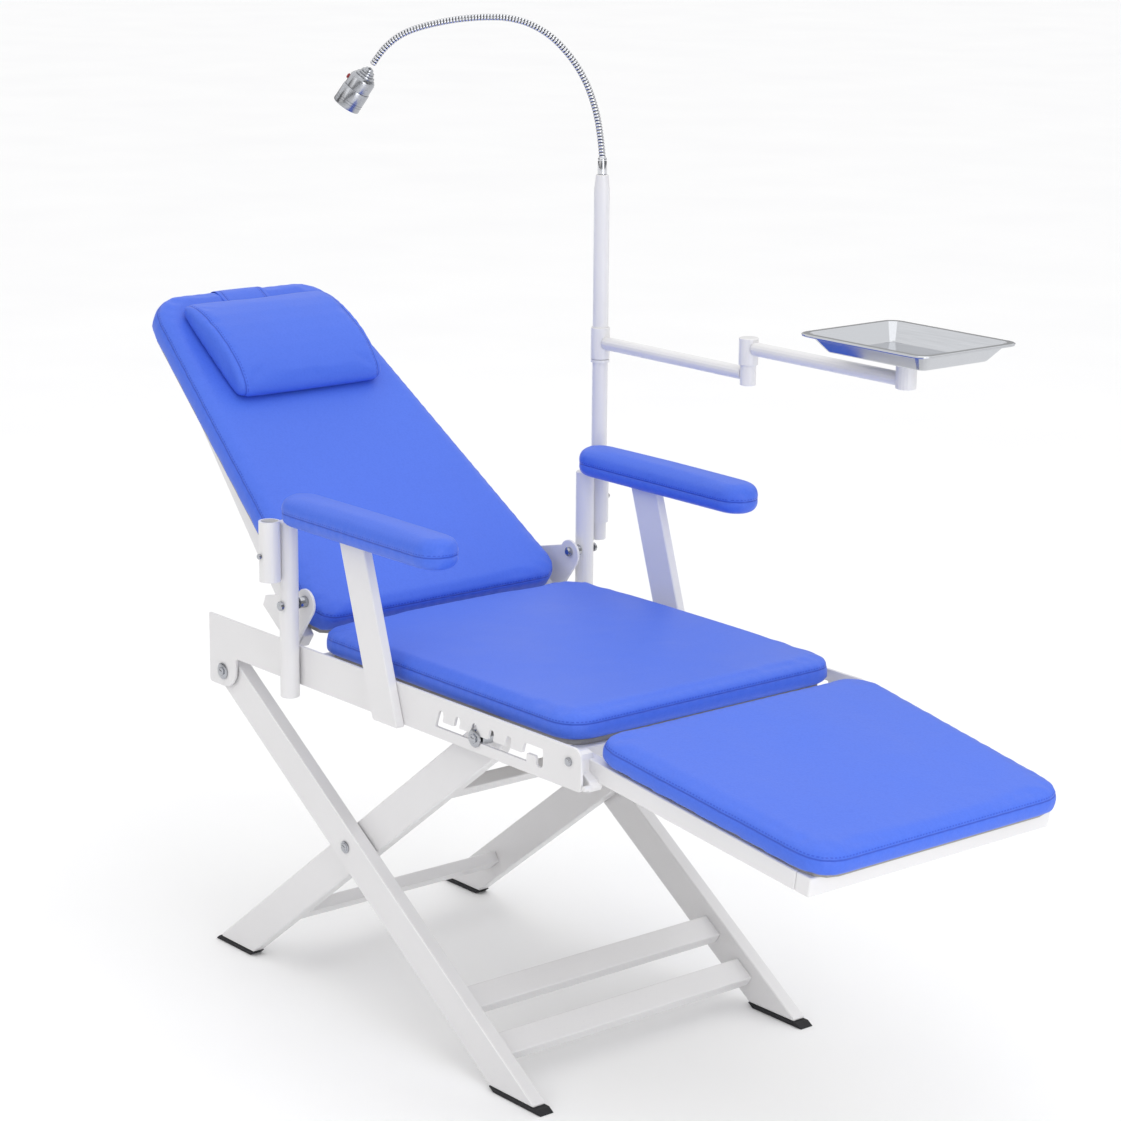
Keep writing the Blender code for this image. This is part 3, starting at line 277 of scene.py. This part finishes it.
shine = add_node(tree, "ShaderNodeMapRange", {"Value": stretch_cloud.outputs["Fac"],
                                              "From Min": 0.3, "From Max": 0.7,
                                              "To Min": 0.40, "To Max": 0.54})
tree.links.new(shine.outputs["Result"], shader.inputs["Roughness"])
drag = add_node(tree, "ShaderNodeTexNoise", {"Vector": object_place, "Scale": 22.0, "Detail": 3.0})
grain_bump = add_node(tree, "ShaderNodeBump", {"Height": grain.outputs["Distance"],
                                               "Strength": 0.22, "Distance": 0.0005})
drag_bump = add_node(tree, "ShaderNodeBump", {"Height": drag.outputs["Fac"], "Strength": 0.25,
                                              "Distance": 0.003,
                                              "Normal": grain_bump.outputs["Normal"]})
crease_bump = add_node(tree, "ShaderNodeBump", {"Height": seam_crease_and_shade.outputs["Result"], "Strength": 0.7,
                                                "Distance": 0.0012,
                                                "Normal": drag_bump.outputs["Normal"]}, invert=True)
stitch_bump = add_node(tree, "ShaderNodeBump", {"Height": stitch.outputs["Value"], "Strength": 0.5,
                                                "Distance": 0.0005,
                                                "Normal": crease_bump.outputs["Normal"]})
tree.links.new(stitch_bump.outputs["Normal"], shader.inputs["Normal"])


def make_active(piece):
    deselect_all()
    piece.select_set(True)
    bpy.context.view_layer.objects.active = piece


def foam_block(name, node, voxel):
    """A copy of a foam solid, drawn in a little and remeshed evenly for its cover to swell from."""
    piece = bpy.data.objects.new(name, nodes[node].data.copy())
    bpy.context.scene.collection.objects.link(piece)
    piece.data.materials.clear()
    piece.data.materials.append(leatherette)
    make_active(piece)
    bpy.ops.object.mode_set(mode="EDIT")
    bpy.ops.mesh.select_all(action="SELECT")
    bpy.ops.mesh.remove_doubles(threshold=0.00001)
    bpy.ops.transform.shrink_fatten(value=-0.0005)
    bpy.ops.object.mode_set(mode="OBJECT")
    remesh = piece.modifiers.new("even_weave", "REMESH")
    remesh.mode = "VOXEL"
    remesh.voxel_size = voxel
    bpy.ops.object.modifier_apply(modifier=remesh.name)
    return piece


def points_of(piece):
    flat = numpy.empty(len(piece.data.vertices) * 3)
    piece.data.vertices.foreach_get("co", flat)
    return flat.reshape(-1, 3)


def put_points(piece, points):
    piece.data.vertices.foreach_set("co", points.ravel())
    piece.data.update()


def normals_of(piece):
    flat = numpy.empty(len(piece.data.vertices) * 3)
    piece.data.vertex_normals.foreach_get("vector", flat)
    return flat.reshape(-1, 3)


def swell(piece, backing, normal, furthest, sideways):
    """Lets the cover fill under pressure, held where backing is true.

    No point rises past furthest along the normal, or moves past sideways across it.
    """
    before = points_of(piece)
    held = piece.vertex_groups.new(name="glued_to_board")
    held.add([int(i) for i in numpy.nonzero(backing)[0]], 1.0, "REPLACE")
    cover = piece.modifiers.new("cover", "CLOTH")
    cover.settings.quality = 4
    cover.settings.mass = 0.4
    cover.settings.tension_stiffness = 12.0
    cover.settings.compression_stiffness = 12.0
    cover.settings.bending_stiffness = 1.5
    cover.settings.use_pressure = True
    cover.settings.uniform_pressure_force = 4.0
    cover.settings.vertex_group_mass = held.name
    cover.settings.effector_weights.gravity = 0.0
    cover.point_cache.frame_start = 1
    cover.point_cache.frame_end = 20
    for count in range(1, 21):
        bpy.context.scene.frame_set(count)
    settled = piece.evaluated_get(bpy.context.evaluated_depsgraph_get())
    after = points_of(settled)
    bpy.context.scene.frame_set(1)
    piece.modifiers.remove(cover)
    piece.vertex_groups.clear()
    move = after - before
    rise = numpy.clip(move @ normal, -0.0004, furthest)
    drift = move - (move @ normal)[:, None] * normal
    far = numpy.maximum(numpy.linalg.norm(drift, axis=1), 1e-9)
    drift = drift * numpy.minimum(1.0, sideways / far)[:, None]
    put_points(piece, before + rise[:, None] * normal + drift)
    make_active(piece)
    bpy.ops.object.mode_set(mode="EDIT")
    bpy.ops.mesh.select_all(action="SELECT")
    bpy.ops.mesh.vertices_smooth(factor=0.5, repeat=2)
    bpy.ops.object.mode_set(mode="OBJECT")
    finer = piece.modifiers.new("finer_cover", "SUBSURF")
    finer.levels = 1
    finer.render_levels = 1
    bpy.ops.object.modifier_apply(modifier=finer.name)
    piece.data.shade_smooth()


def sew(piece, gap, run, pull):
    """Marks the seam for the material, draws it in and puckers the cover on both sides of it."""
    points = points_of(piece)
    near = numpy.exp(-(gap / 0.0042) ** 2)
    beside_seam = numpy.exp(-(gap / 0.011) ** 2)
    pucker = numpy.sin(run * 2.0 * math.pi / 0.021 + 1.3 * numpy.sin(run * 31.0))
    depth = -pull * near + 0.00028 * pucker * beside_seam
    put_points(piece, points + normals_of(piece) * depth[:, None])
    for name, values in (("seam_gap", gap), ("seam_run", run)):
        field = piece.data.attributes.new(name, "FLOAT", "POINT")
        field.data.foreach_set("value", values.astype(numpy.float32))


def boxed_cushion(name, node, body, origin, along, normal, seam_up, furthest, taper=0.0,
                  voxel=0.006):
    """A boxed cushion over a foam block; its seam runs round it at seam_up above the origin.

    The taper is how much each side draws in for every metre along the cushion.
    """
    origin = numpy.array(origin)
    along = numpy.array(along)
    normal = numpy.array(normal)
    piece = foam_block(name, node, voxel)
    up = (points_of(piece) - origin) @ normal
    swell(piece, up < up.min() + 0.004, normal, furthest, 0.0010)
    points = points_of(piece)
    up = (points - origin) @ normal
    floor_up = up.min()
    at_the_board = numpy.clip(1.0 - (up - floor_up) / 0.006, 0.0, 1.0)
    points = points - normal * (0.0009 * at_the_board)[:, None]
    put_points(piece, points)
    up = (points - origin) @ normal
    length = (points - origin) @ along
    width = points[:, 1] - origin[1]
    middle = 0.5 * (length.min() + length.max())
    half_length = 0.5 * (length.max() - length.min())
    wide_end = (numpy.abs(width) + taper * length).max()
    half_width = wide_end - taper * length
    endwards = numpy.abs(length - middle) / half_length
    sidewards = numpy.abs(width) / half_width
    at_the_edge = numpy.maximum(endwards, sidewards) > 0.78
    out_from_seam = numpy.where(at_the_edge, up - seam_up, 0.05)
    run = numpy.where(endwards > sidewards, width, length)
    sew(piece, out_from_seam, run, 0.0009)
    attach(piece, body)
    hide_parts(node)


# The chair's middle plane, and how far its rear end lies behind the frame's origin.
MIDDLE = -0.0390
REAR_END = 0.5369
seat_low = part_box("seat_cushion")[0]
boxed_cushion("seat_cover", "seat_cushion", "seat_frame", (0.0, MIDDLE, seat_low.z),
              (1.0, 0.0, 0.0), (0.0, 0.0, 1.0), 0.0235, 0.0048)
BACK_TILT = math.radians(35.4)
back_along = (-math.cos(BACK_TILT), 0.0, math.sin(BACK_TILT))
back_normal = (math.sin(BACK_TILT), 0.0, math.cos(BACK_TILT))
BACK_FOOT = (0.2800 - REAR_END, MIDDLE, 0.6174)
boxed_cushion("back_cover", "back_cushion", "backrest", BACK_FOOT, back_along, back_normal, -0.0110,
              0.0034, 0.101)
FOOT_TILT = math.radians(8.4)
boxed_cushion("footrest_cover", "footrest_cushion", "footrest",
              (0.9450 - REAR_END, MIDDLE, 0.5515),
              (math.cos(FOOT_TILT), 0.0, -math.sin(FOOT_TILT)),
              (math.sin(FOOT_TILT), 0.0, math.cos(FOOT_TILT)), 0.0225, 0.0040, 0.056)
for side in ("near", "far"):
    pad_low, pad_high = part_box("armrest_pad_" + side)
    pad_middle = (pad_low + pad_high) / 2.0
    boxed_cushion("armrest_cover_" + side, "armrest_pad_" + side, "seat_frame",
                  (pad_middle.x, pad_middle.y, pad_low.z), (1.0, 0.0, 0.0), (0.0, 0.0, 1.0), 0.0205,
                  0.0024, 0.0, 0.005)

# ---------------------------------------------------------------- head pillow and its strap
# A half-round foam pillow in the same leatherette, with a flat panel sewn in at each end,
# held by a broad band that passes over the top of the back and down behind it.
back_start = numpy.array(BACK_FOOT)
up_the_back = numpy.array(back_along)
off_the_back = numpy.array(back_normal)
pillow = foam_block("pillow_cover", "head_pillow", 0.005)
rise = (points_of(pillow) - back_start) @ off_the_back
swell(pillow, rise < rise.min() + 0.002, off_the_back, 0.0026, 0.0010)
points = points_of(pillow)
sideways = numpy.abs(points[:, 1] - MIDDLE)
rise = (points - back_start) @ off_the_back
# The underside arches 6.9 mm over the band, so that the pillow can slide along it.
arch_height = 0.0069
arch_half, arch_slope = 0.0570, 0.0070
over_band = arch_height * numpy.clip((arch_half - sideways) / arch_slope, 0.0, 1.0)
points = points + numpy.maximum(over_band - rise, 0.0)[:, None] * off_the_back
put_points(pillow, points)
panel_seam = 0.1300
climb = (points - back_start) @ up_the_back
sew(pillow, panel_seam - sideways, climb, 0.0011)
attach(pillow, "pillow")
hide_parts("head_pillow")

# (distance up the back, height off its face), over the top edge and down behind
strap_path = ((0.4500, 0.0040), (0.5200, 0.0046), (0.6150, 0.0048), (0.6400, 0.0046),
              (0.6610, 0.0036), (0.6750, 0.0008), (0.6850, -0.0052), (0.6900, -0.0135),
              (0.6912, -0.0245), (0.6908, -0.0362), (0.6878, -0.0428), (0.6822, -0.0470),
              (0.6775, -0.0534), (0.6600, -0.0540), (0.6300, -0.0540))
strap_half = 0.0455
strap_hem = 0.0075
strips_across = 14
strap_mesh = bpy.data.meshes.new("pillow_band")
strap_spots = [Vector(BACK_FOOT) + Vector(back_along) * s + Vector(back_normal) * n
               for s, n in strap_path]
strap_mesh.from_pydata([spot - Vector((0.0, strap_half, 0.0)) for spot in strap_spots],
                       [(i, i + 1) for i in range(len(strap_spots) - 1)], [])
strap = bpy.data.objects.new("pillow_band", strap_mesh)
bpy.context.scene.collection.objects.link(strap)
make_active(strap)
bpy.ops.object.mode_set(mode="EDIT")
bpy.ops.mesh.select_all(action="SELECT")
for count in range(strips_across):
    bpy.ops.mesh.extrude_region_move(
        TRANSFORM_OT_translate={"value": (0.0, 2.0 * strap_half / strips_across, 0.0)})
bpy.ops.mesh.select_all(action="SELECT")
bpy.ops.mesh.remove_doubles(threshold=0.00001)
bpy.ops.mesh.normals_make_consistent(inside=False)
bpy.ops.object.mode_set(mode="OBJECT")
thick = strap.modifiers.new("band_thickness", "SOLIDIFY")
thick.thickness = 0.0018
thick.offset = 0.0
softer = strap.modifiers.new("band_curve", "SUBSURF")
softer.levels = 2
softer.render_levels = 2
for modifier in ("band_thickness", "band_curve"):
    bpy.ops.object.modifier_apply(modifier=modifier)
strap.data.shade_smooth()
strap.data.materials.append(leatherette)
points = points_of(strap)
climb = (points - back_start) @ up_the_back
sew(strap, strap_half - strap_hem - numpy.abs(points[:, 1] - MIDDLE), climb, 0.0)
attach(strap, "backrest")
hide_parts("pillow_strap")

# ---------------------------------------------------------------- bolts, nuts and pins
# Zinc-nickel plated cap screws, washers and dome nuts pin the moving parts together.
# Bright plated steel: a clear mirror, slightly clouded and uneven from handling.
plate, tree, shader = start_material("bright_nickel_plate", Metallic=1.0, Roughness=0.16)
object_place = add_node(tree, "ShaderNodeTexCoord").outputs["Object"]
marks = add_node(tree, "ShaderNodeTexNoise", {"Vector": object_place, "Scale": 420.0,
                                              "Detail": 4.0})
shade = add_node(tree, "ShaderNodeMix", {"Factor": marks.outputs["Fac"], "A": hex_colour("#9A9CA1"),
                                         "B": hex_colour("#BDBFC4")}, data_type="RGBA")
tree.links.new(shade.outputs["Result"], shader.inputs["Base Color"])
gloss = add_node(tree, "ShaderNodeMapRange", {"Value": marks.outputs["Fac"], "To Min": 0.10,
                                              "To Max": 0.26})
tree.links.new(gloss.outputs["Result"], shader.inputs["Roughness"])


def turn_up(name, profile, sides=40):
    """Turns a piece from a disc: (height, radius) pairs, each an extrusion and a new size."""
    deselect_all()
    bpy.ops.mesh.primitive_circle_add(vertices=sides, radius=profile[0][1], fill_type="NGON",
                                      location=(0.0, 0.0, profile[0][0]), enter_editmode=False)
    piece = bpy.context.active_object
    piece.name = name
    bpy.ops.object.transform_apply(location=True)
    bpy.ops.object.mode_set(mode="EDIT")
    bpy.ops.mesh.select_all(action="SELECT")
    height, radius = profile[0]
    for next_height, next_radius in profile[1:]:
        bpy.ops.mesh.extrude_region_move(
            TRANSFORM_OT_translate={"value": (0.0, 0.0, next_height - height)})
        size = next_radius / radius
        bpy.ops.transform.resize(value=(size, size, 1.0), center_override=(0.0, 0.0, next_height))
        height, radius = next_height, next_radius
    bpy.ops.mesh.select_all(action="SELECT")
    bpy.ops.mesh.normals_make_consistent(inside=False)
    bpy.ops.object.mode_set(mode="OBJECT")
    piece.data.shade_smooth()
    piece.data.set_sharp_from_angle(angle=math.radians(40.0))
    return piece


def stand_at(piece, place, axis):
    """Turns a piece's mesh so that its +Z runs along the axis, and moves it to its place."""
    turn = Vector(axis).to_track_quat("Z", "Y").to_matrix().to_4x4()
    piece.data.transform(Matrix.Translation(Vector(place)) @ turn)
    piece.data.update()


def join_into(piece, others):
    """Makes one piece of several."""
    make_active(piece)
    for other in others:
        other.select_set(True)
    bpy.ops.object.join()
    return piece


def hex_head(name, across_flats, low, high):
    """A six-sided head or nut with its corners chamfered."""
    to_corner = across_flats / 1.732
    piece = turn_up(name, ((low, to_corner - 0.0008), (low + 0.0005, to_corner),
                           (high - 0.0007, to_corner), (high, to_corner - 0.0010)), 6)
    edge = piece.modifiers.new("forged_edge", "BEVEL")
    edge.width = 0.0003
    edge.segments = 2
    edge.limit_method = "ANGLE"
    edge.angle_limit = math.radians(30.0)
    make_active(piece)
    bpy.ops.object.modifier_apply(modifier=edge.name)
    return piece


# (name, body, outline), the outline running inwards from the outer end: washer, shank, inner nut
bolt_kinds = (
    ("leg_pivot_bolt", "seat_frame",
     ((0.0046, 0.0122), (0.0051, 0.0131), (0.0067, 0.0131), (0.0070, 0.0126), (0.0070, 0.0039),
      (0.0118, 0.0039), (0.0118, 0.0108), (0.0143, 0.0108), (0.0143, 0.0039), (0.0382, 0.0039),
      (0.0382, 0.0078), (0.0390, 0.0080), (0.0445, 0.0078), (0.0452, 0.0055))),
    ("scissor_bolt", "front_legs",
     ((0.0030, 0.0090), (0.0034, 0.0097), (0.0046, 0.0097), (0.0048, 0.0094), (0.0048, 0.0039),
      (0.0284, 0.0039), (0.0284, 0.0088), (0.0306, 0.0088), (0.0306, 0.0039), (0.0522, 0.0039),
      (0.0522, 0.0078), (0.0580, 0.0078), (0.0586, 0.0055))),
    ("slot_pin", "rear_legs",
     ((0.0050, 0.0122), (0.0055, 0.0131), (0.0072, 0.0131), (0.0075, 0.0126), (0.0075, 0.0039),
      (0.0123, 0.0039), (0.0123, 0.0118), (0.0406, 0.0118), (0.0406, 0.0039), (0.0626, 0.0039),
      (0.0626, 0.0078), (0.0680, 0.0078), (0.0688, 0.0055))),
)
for stem, body, shaft in bolt_kinds:
    for side, out in (("near", -1.0), ("far", 1.0)):
        low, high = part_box(stem + "_" + side)
        tip = low.y if out < 0.0 else high.y
        place = ((low.x + high.x) / 2.0, tip, (low.z + high.z) / 2.0)
        bolt = turn_up(stem + "_turned_" + side, shaft)
        nut = hex_head("nut", 0.0130, 0.0016, shaft[0][0] + 0.0004)
        dome = turn_up("dome", ((0.0000, 0.0012), (0.0003, 0.0028), (0.0009, 0.0041),
                                (0.0017, 0.0047), (0.0022, 0.0048)), 32)
        join_into(bolt, [nut, dome])
        stand_at(bolt, place, (0.0, -out, 0.0))
        bolt.data.materials.append(plate)
        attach(bolt, body)
        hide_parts(stem + "_" + side)
for name in ("back_pivot_bolt", "footrest_pivot_bolt", "socket_screw"):
    for side in ("near", "far"):
        nodes[name + "_" + side].material_slots[0].material = plate

# ---------------------------------------------------------------- gooseneck
# A flexible lamp neck: a chromed strip wound in a close spiral over a steel core, swaged into
# a plain ferrule that screws into the top of the pole. Each turn is drawn as a closed ring.
# Polished chrome strip: mirror bright on each turn's crown; the valleys carry painted shade.
chrome, tree, shader = start_material("polished_chrome_plate", Metallic=1.0, Roughness=0.11)
object_place = add_node(tree, "ShaderNodeTexCoord").outputs["Object"]
haze = add_node(tree, "ShaderNodeTexNoise", {"Vector": object_place, "Scale": 160.0, "Detail": 4.0})
shade = add_node(tree, "ShaderNodeMix", {"Factor": haze.outputs["Fac"], "A": hex_colour("#C9CBD0"),
                                         "B": hex_colour("#E4E5E8")}, data_type="RGBA")
tree.links.new(shade.outputs["Result"], shader.inputs["Base Color"])
gloss = add_node(tree, "ShaderNodeMapRange", {"Value": haze.outputs["Fac"], "To Min": 0.07,
                                              "To Max": 0.19})
tree.links.new(gloss.outputs["Result"], shader.inputs["Roughness"])

GOOSE_TURN = math.radians(220.0)
goose_foot = Vector((0.2835 - REAR_END, 0.3197 + MIDDLE, 0.0))
goose_route = ((0.0000, 1.2333), (0.0002, 1.2600), (0.0070, 1.3120), (0.0180, 1.3530),
               (0.0340, 1.3880), (0.0560, 1.4190), (0.0840, 1.4460), (0.1160, 1.4640),
               (0.1480, 1.4725), (0.1780, 1.4740), (0.2180, 1.4715), (0.2580, 1.4650),
               (0.2970, 1.4550), (0.3250, 1.4430), (0.3470, 1.4265), (0.3625, 1.4085),
               (0.3738, 1.3915))
goose_points = [goose_foot + Vector((math.cos(GOOSE_TURN) * reach, math.sin(GOOSE_TURN) * reach,
                                     height)) for reach, height in goose_route]
guide_data = bpy.data.curves.new("neck_guide", "CURVE")
guide_data.dimensions = "3D"
guide_data.resolution_u = 12
line = guide_data.splines.new("BEZIER")
line.bezier_points.add(len(goose_points) - 1)
for i, spot in enumerate(goose_points):
    ahead = goose_points[min(i + 1, len(goose_points) - 1)]
    behind = goose_points[max(i - 1, 0)]
    slope = (ahead - behind) / 6.0
    line.bezier_points[i].co = spot
    line.bezier_points[i].handle_left = spot - slope
    line.bezier_points[i].handle_right = spot + slope
guide = bpy.data.objects.new("neck_guide", guide_data)
bpy.context.scene.collection.objects.link(guide)
bpy.context.view_layer.update()
neck_length = line.calc_length()
# Painted shade for the valleys between turns: a nearly black, half-gloss metal laid where shade
# falls.
painted_valley_shade, tree, shader = start_material("painted_shade_valley", Metallic=0.8, Roughness=0.45)
object_place = add_node(tree, "ShaderNodeTexCoord").outputs["Object"]
valley_shade_mottle = add_node(tree, "ShaderNodeTexNoise", {"Vector": object_place, "Scale": 300.0, "Detail": 3.0})
shade = add_node(tree, "ShaderNodeMix", {"Factor": valley_shade_mottle.outputs["Fac"], "A": hex_colour("#33353A"),
                                         "B": hex_colour("#54565B")}, data_type="RGBA")
tree.links.new(shade.outputs["Result"], shader.inputs["Base Color"])
turn_pitch = 0.0050
neck = turn_up("gooseneck_coil", ((0.0, 0.0043), (0.0008, 0.0050), (0.0016, 0.00555),
                                  (0.0034, 0.00555), (0.0042, 0.0050), (turn_pitch, 0.0043)), 16)
neck.data.materials.append(chrome)
neck.data.materials.append(painted_valley_shade)
# Faces away from each turn's crown take the dark valley material, which is painted shade.
for face in neck.data.polygons:
    face.material_index = 1 if abs(face.center.z - turn_pitch / 2.0) > 0.0018 else 0
make_active(neck)
bpy.ops.object.mode_set(mode="EDIT")
bpy.ops.mesh.select_all(action="DESELECT")
bpy.ops.object.mode_set(mode="OBJECT")
for face in neck.data.polygons:
    face.select = len(face.vertices) > 4
bpy.ops.object.mode_set(mode="EDIT")
bpy.ops.mesh.delete(type="ONLY_FACE")
bpy.ops.object.mode_set(mode="OBJECT")
winding = neck.modifiers.new("winding", "ARRAY")
winding.count = int((neck_length - 0.0006) / turn_pitch)
winding.use_relative_offset = False
winding.use_constant_offset = True
winding.constant_offset_displace = (0.0, 0.0, turn_pitch)
winding.use_merge_vertices = True
winding.merge_threshold = 0.0001
bpy.ops.object.modifier_apply(modifier=winding.name)
bpy.ops.object.mode_set(mode="EDIT")
bpy.ops.mesh.select_all(action="SELECT")
bpy.ops.mesh.fill_holes(sides=20)
bpy.ops.mesh.select_all(action="SELECT")
bpy.ops.mesh.normals_make_consistent(inside=False)
bpy.ops.object.mode_set(mode="OBJECT")
bend = neck.modifiers.new("bend", "CURVE")
bend.object = guide
bend.deform_axis = "POS_Z"
bpy.ops.object.modifier_apply(modifier=bend.name)
bpy.data.objects.remove(guide)
neck.data.shade_smooth()
ferrule = turn_up("ferrule", ((0.0, 0.0066), (0.0008, 0.0074), (0.0200, 0.0074), (0.0215, 0.0070),
                              (0.0225, 0.0070), (0.0240, 0.0073), (0.0262, 0.0062)), 32)
stand_at(ferrule, goose_points[0], goose_points[1] - goose_points[0])
ferrule.data.materials.append(chrome)
join_into(neck, [ferrule])
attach(neck, "lamp_neck")
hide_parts("gooseneck")

# ---------------------------------------------------------------- lamp head
# A turned and chromed aluminium spot: a stepped cooling cone, a barrel with a grip groove,
# and a rolled rim round a moulded lens.
lamp_place = goose_points[-1]
lamp_aim = Vector((math.cos(GOOSE_TURN) * 0.0415, math.sin(GOOSE_TURN) * 0.0415,
                   -0.0611)).normalized()
lamp_start = lamp_place + lamp_aim * 0.0003
lamp = turn_up("lamp_barrel", (
    (0.0000, 0.0006), (0.0028, 0.0066), (0.0060, 0.0075), (0.0063, 0.0090), (0.0068, 0.0104),
    (0.0085, 0.0108), (0.0090, 0.0098), (0.0098, 0.0098), (0.0103, 0.0116), (0.0122, 0.0122),
    (0.0127, 0.0114), (0.0136, 0.0114), (0.0141, 0.0152), (0.0162, 0.0160), (0.0168, 0.0150),
    (0.0178, 0.0150), (0.0183, 0.0178), (0.0210, 0.0200), (0.0240, 0.0211), (0.0400, 0.0214),
    (0.0403, 0.0207), (0.0412, 0.0207), (0.0416, 0.0222), (0.0424, 0.0226), (0.0600, 0.0228),
    (0.0603, 0.0222), (0.0609, 0.0222), (0.0612, 0.0228), (0.0640, 0.0228), (0.0643, 0.0222),
    (0.0649, 0.0222), (0.0652, 0.0228), (0.0722, 0.0229), (0.0735, 0.0226), (0.0740, 0.0220),
    (0.0739, 0.0210), (0.0728, 0.0204), (0.0700, 0.0201), (0.0640, 0.0178), (0.0600, 0.0120),
    (0.0590, 0.0040)), 56)
stand_at(lamp, lamp_start, lamp_aim)
# Lathe-turned aluminium under a thin chrome: greyer and softer than the neck, finely mottled.
turned_metal, tree, shader = start_material("lathe_turned_aluminium", Metallic=1.0, Roughness=0.24)
object_place = add_node(tree, "ShaderNodeTexCoord").outputs["Object"]
lathe = add_node(tree, "ShaderNodeTexNoise", {"Vector": object_place, "Scale": 520.0,
                                              "Detail": 3.0})
shade = add_node(tree, "ShaderNodeMix", {"Factor": lathe.outputs["Fac"], "A": hex_colour("#94969B"),
                                         "B": hex_colour("#B9BBC0")}, data_type="RGBA")
tree.links.new(shade.outputs["Result"], shader.inputs["Base Color"])
gloss = add_node(tree, "ShaderNodeMapRange", {"Value": lathe.outputs["Fac"], "To Min": 0.16,
                                              "To Max": 0.32})
tree.links.new(gloss.outputs["Result"], shader.inputs["Roughness"])
lamp.data.materials.append(turned_metal)
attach(lamp, "lamp")
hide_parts("lamp_head")
# Moulded polycarbonate lens: clear, with a faint frost.
clear_lens, tree, shader = start_material("frosted_polycarbonate_lens", Roughness=0.12, IOR=1.585,
                                          Transmission_Weight=0.75)
object_place = add_node(tree, "ShaderNodeTexCoord").outputs["Object"]
frost = add_node(tree, "ShaderNodeTexVoronoi", {"Vector": object_place, "Scale": 420.0})
shade = add_node(tree, "ShaderNodeMix", {"Factor": frost.outputs["Distance"],
                                         "A": hex_colour("#F2F6F8"), "B": hex_colour("#DCE3E8")},
                 data_type="RGBA")
tree.links.new(shade.outputs["Result"], shader.inputs["Base Color"])
lens_bump = add_node(tree, "ShaderNodeBump", {"Height": frost.outputs["Distance"], "Strength": 0.3,
                                              "Distance": 0.0004})
tree.links.new(lens_bump.outputs["Normal"], shader.inputs["Normal"])
lens = turn_up("lamp_lens", ((0.0680, 0.0190), (0.0700, 0.0199), (0.0712, 0.0199), (0.0722, 0.0170),
                             (0.0729, 0.0120), (0.0732, 0.0060), (0.0733, 0.0010)), 48)
stand_at(lens, lamp_start, lamp_aim)
lens.data.materials.append(clear_lens)
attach(lens, "lamp")

# ---------------------------------------------------------------- lamp switch
# A small push button moulded in dark red ABS, standing in its hole on the barrel.
# Moulded ABS: satin, with the fine texture of a spark-eroded mould.
red_abs, tree, shader = start_material("moulded_red_abs", Roughness=0.38)
object_place = add_node(tree, "ShaderNodeTexCoord").outputs["Object"]
spark = add_node(tree, "ShaderNodeTexNoise", {"Vector": object_place, "Scale": 900.0,
                                              "Detail": 2.0})
shade = add_node(tree, "ShaderNodeMix", {"Factor": spark.outputs["Fac"], "A": hex_colour("#7C141C"),
                                         "B": hex_colour("#9C2028")}, data_type="RGBA")
tree.links.new(shade.outputs["Result"], shader.inputs["Base Color"])
fine = add_node(tree, "ShaderNodeBump", {"Height": spark.outputs["Fac"], "Strength": 0.25,
                                         "Distance": 0.0002})
tree.links.new(fine.outputs["Normal"], shader.inputs["Normal"])
nodes["lamp_switch"].material_slots[0].material = red_abs

# ---------------------------------------------------------------- instrument tray
# A shallow dish pressed from 1.3 mm stainless sheet, its rim rolled over, its foot screwed
# to the arm's post. Polished stainless: a bright mirror with long faint buffing lines.
stainless, tree, shader = start_material("buffed_stainless_sheet", Metallic=1.0, Roughness=0.16)
object_place = add_node(tree, "ShaderNodeTexCoord").outputs["Object"]
buffed = add_node(tree, "ShaderNodeMapping", {"Vector": object_place, "Scale": (8.0, 420.0, 420.0)})
lines = add_node(tree, "ShaderNodeTexNoise", {"Vector": buffed.outputs["Vector"], "Scale": 2.0,
                                              "Detail": 4.0})
shade = add_node(tree, "ShaderNodeMix", {"Factor": lines.outputs["Fac"], "A": hex_colour("#B2B4B8"),
                                         "B": hex_colour("#CBCDD1")}, data_type="RGBA")
tree.links.new(shade.outputs["Result"], shader.inputs["Base Color"])
gloss = add_node(tree, "ShaderNodeMapRange", {"Value": lines.outputs["Fac"], "To Min": 0.05,
                                              "To Max": 0.16})
tree.links.new(gloss.outputs["Result"], shader.inputs["Roughness"])
buff_bump = add_node(tree, "ShaderNodeBump", {"Height": lines.outputs["Fac"], "Strength": 0.06,
                                              "Distance": 0.0002})
tree.links.new(buff_bump.outputs["Normal"], shader.inputs["Normal"])
nodes["instrument_tray"].material_slots[0].material = stainless

deselect_all()
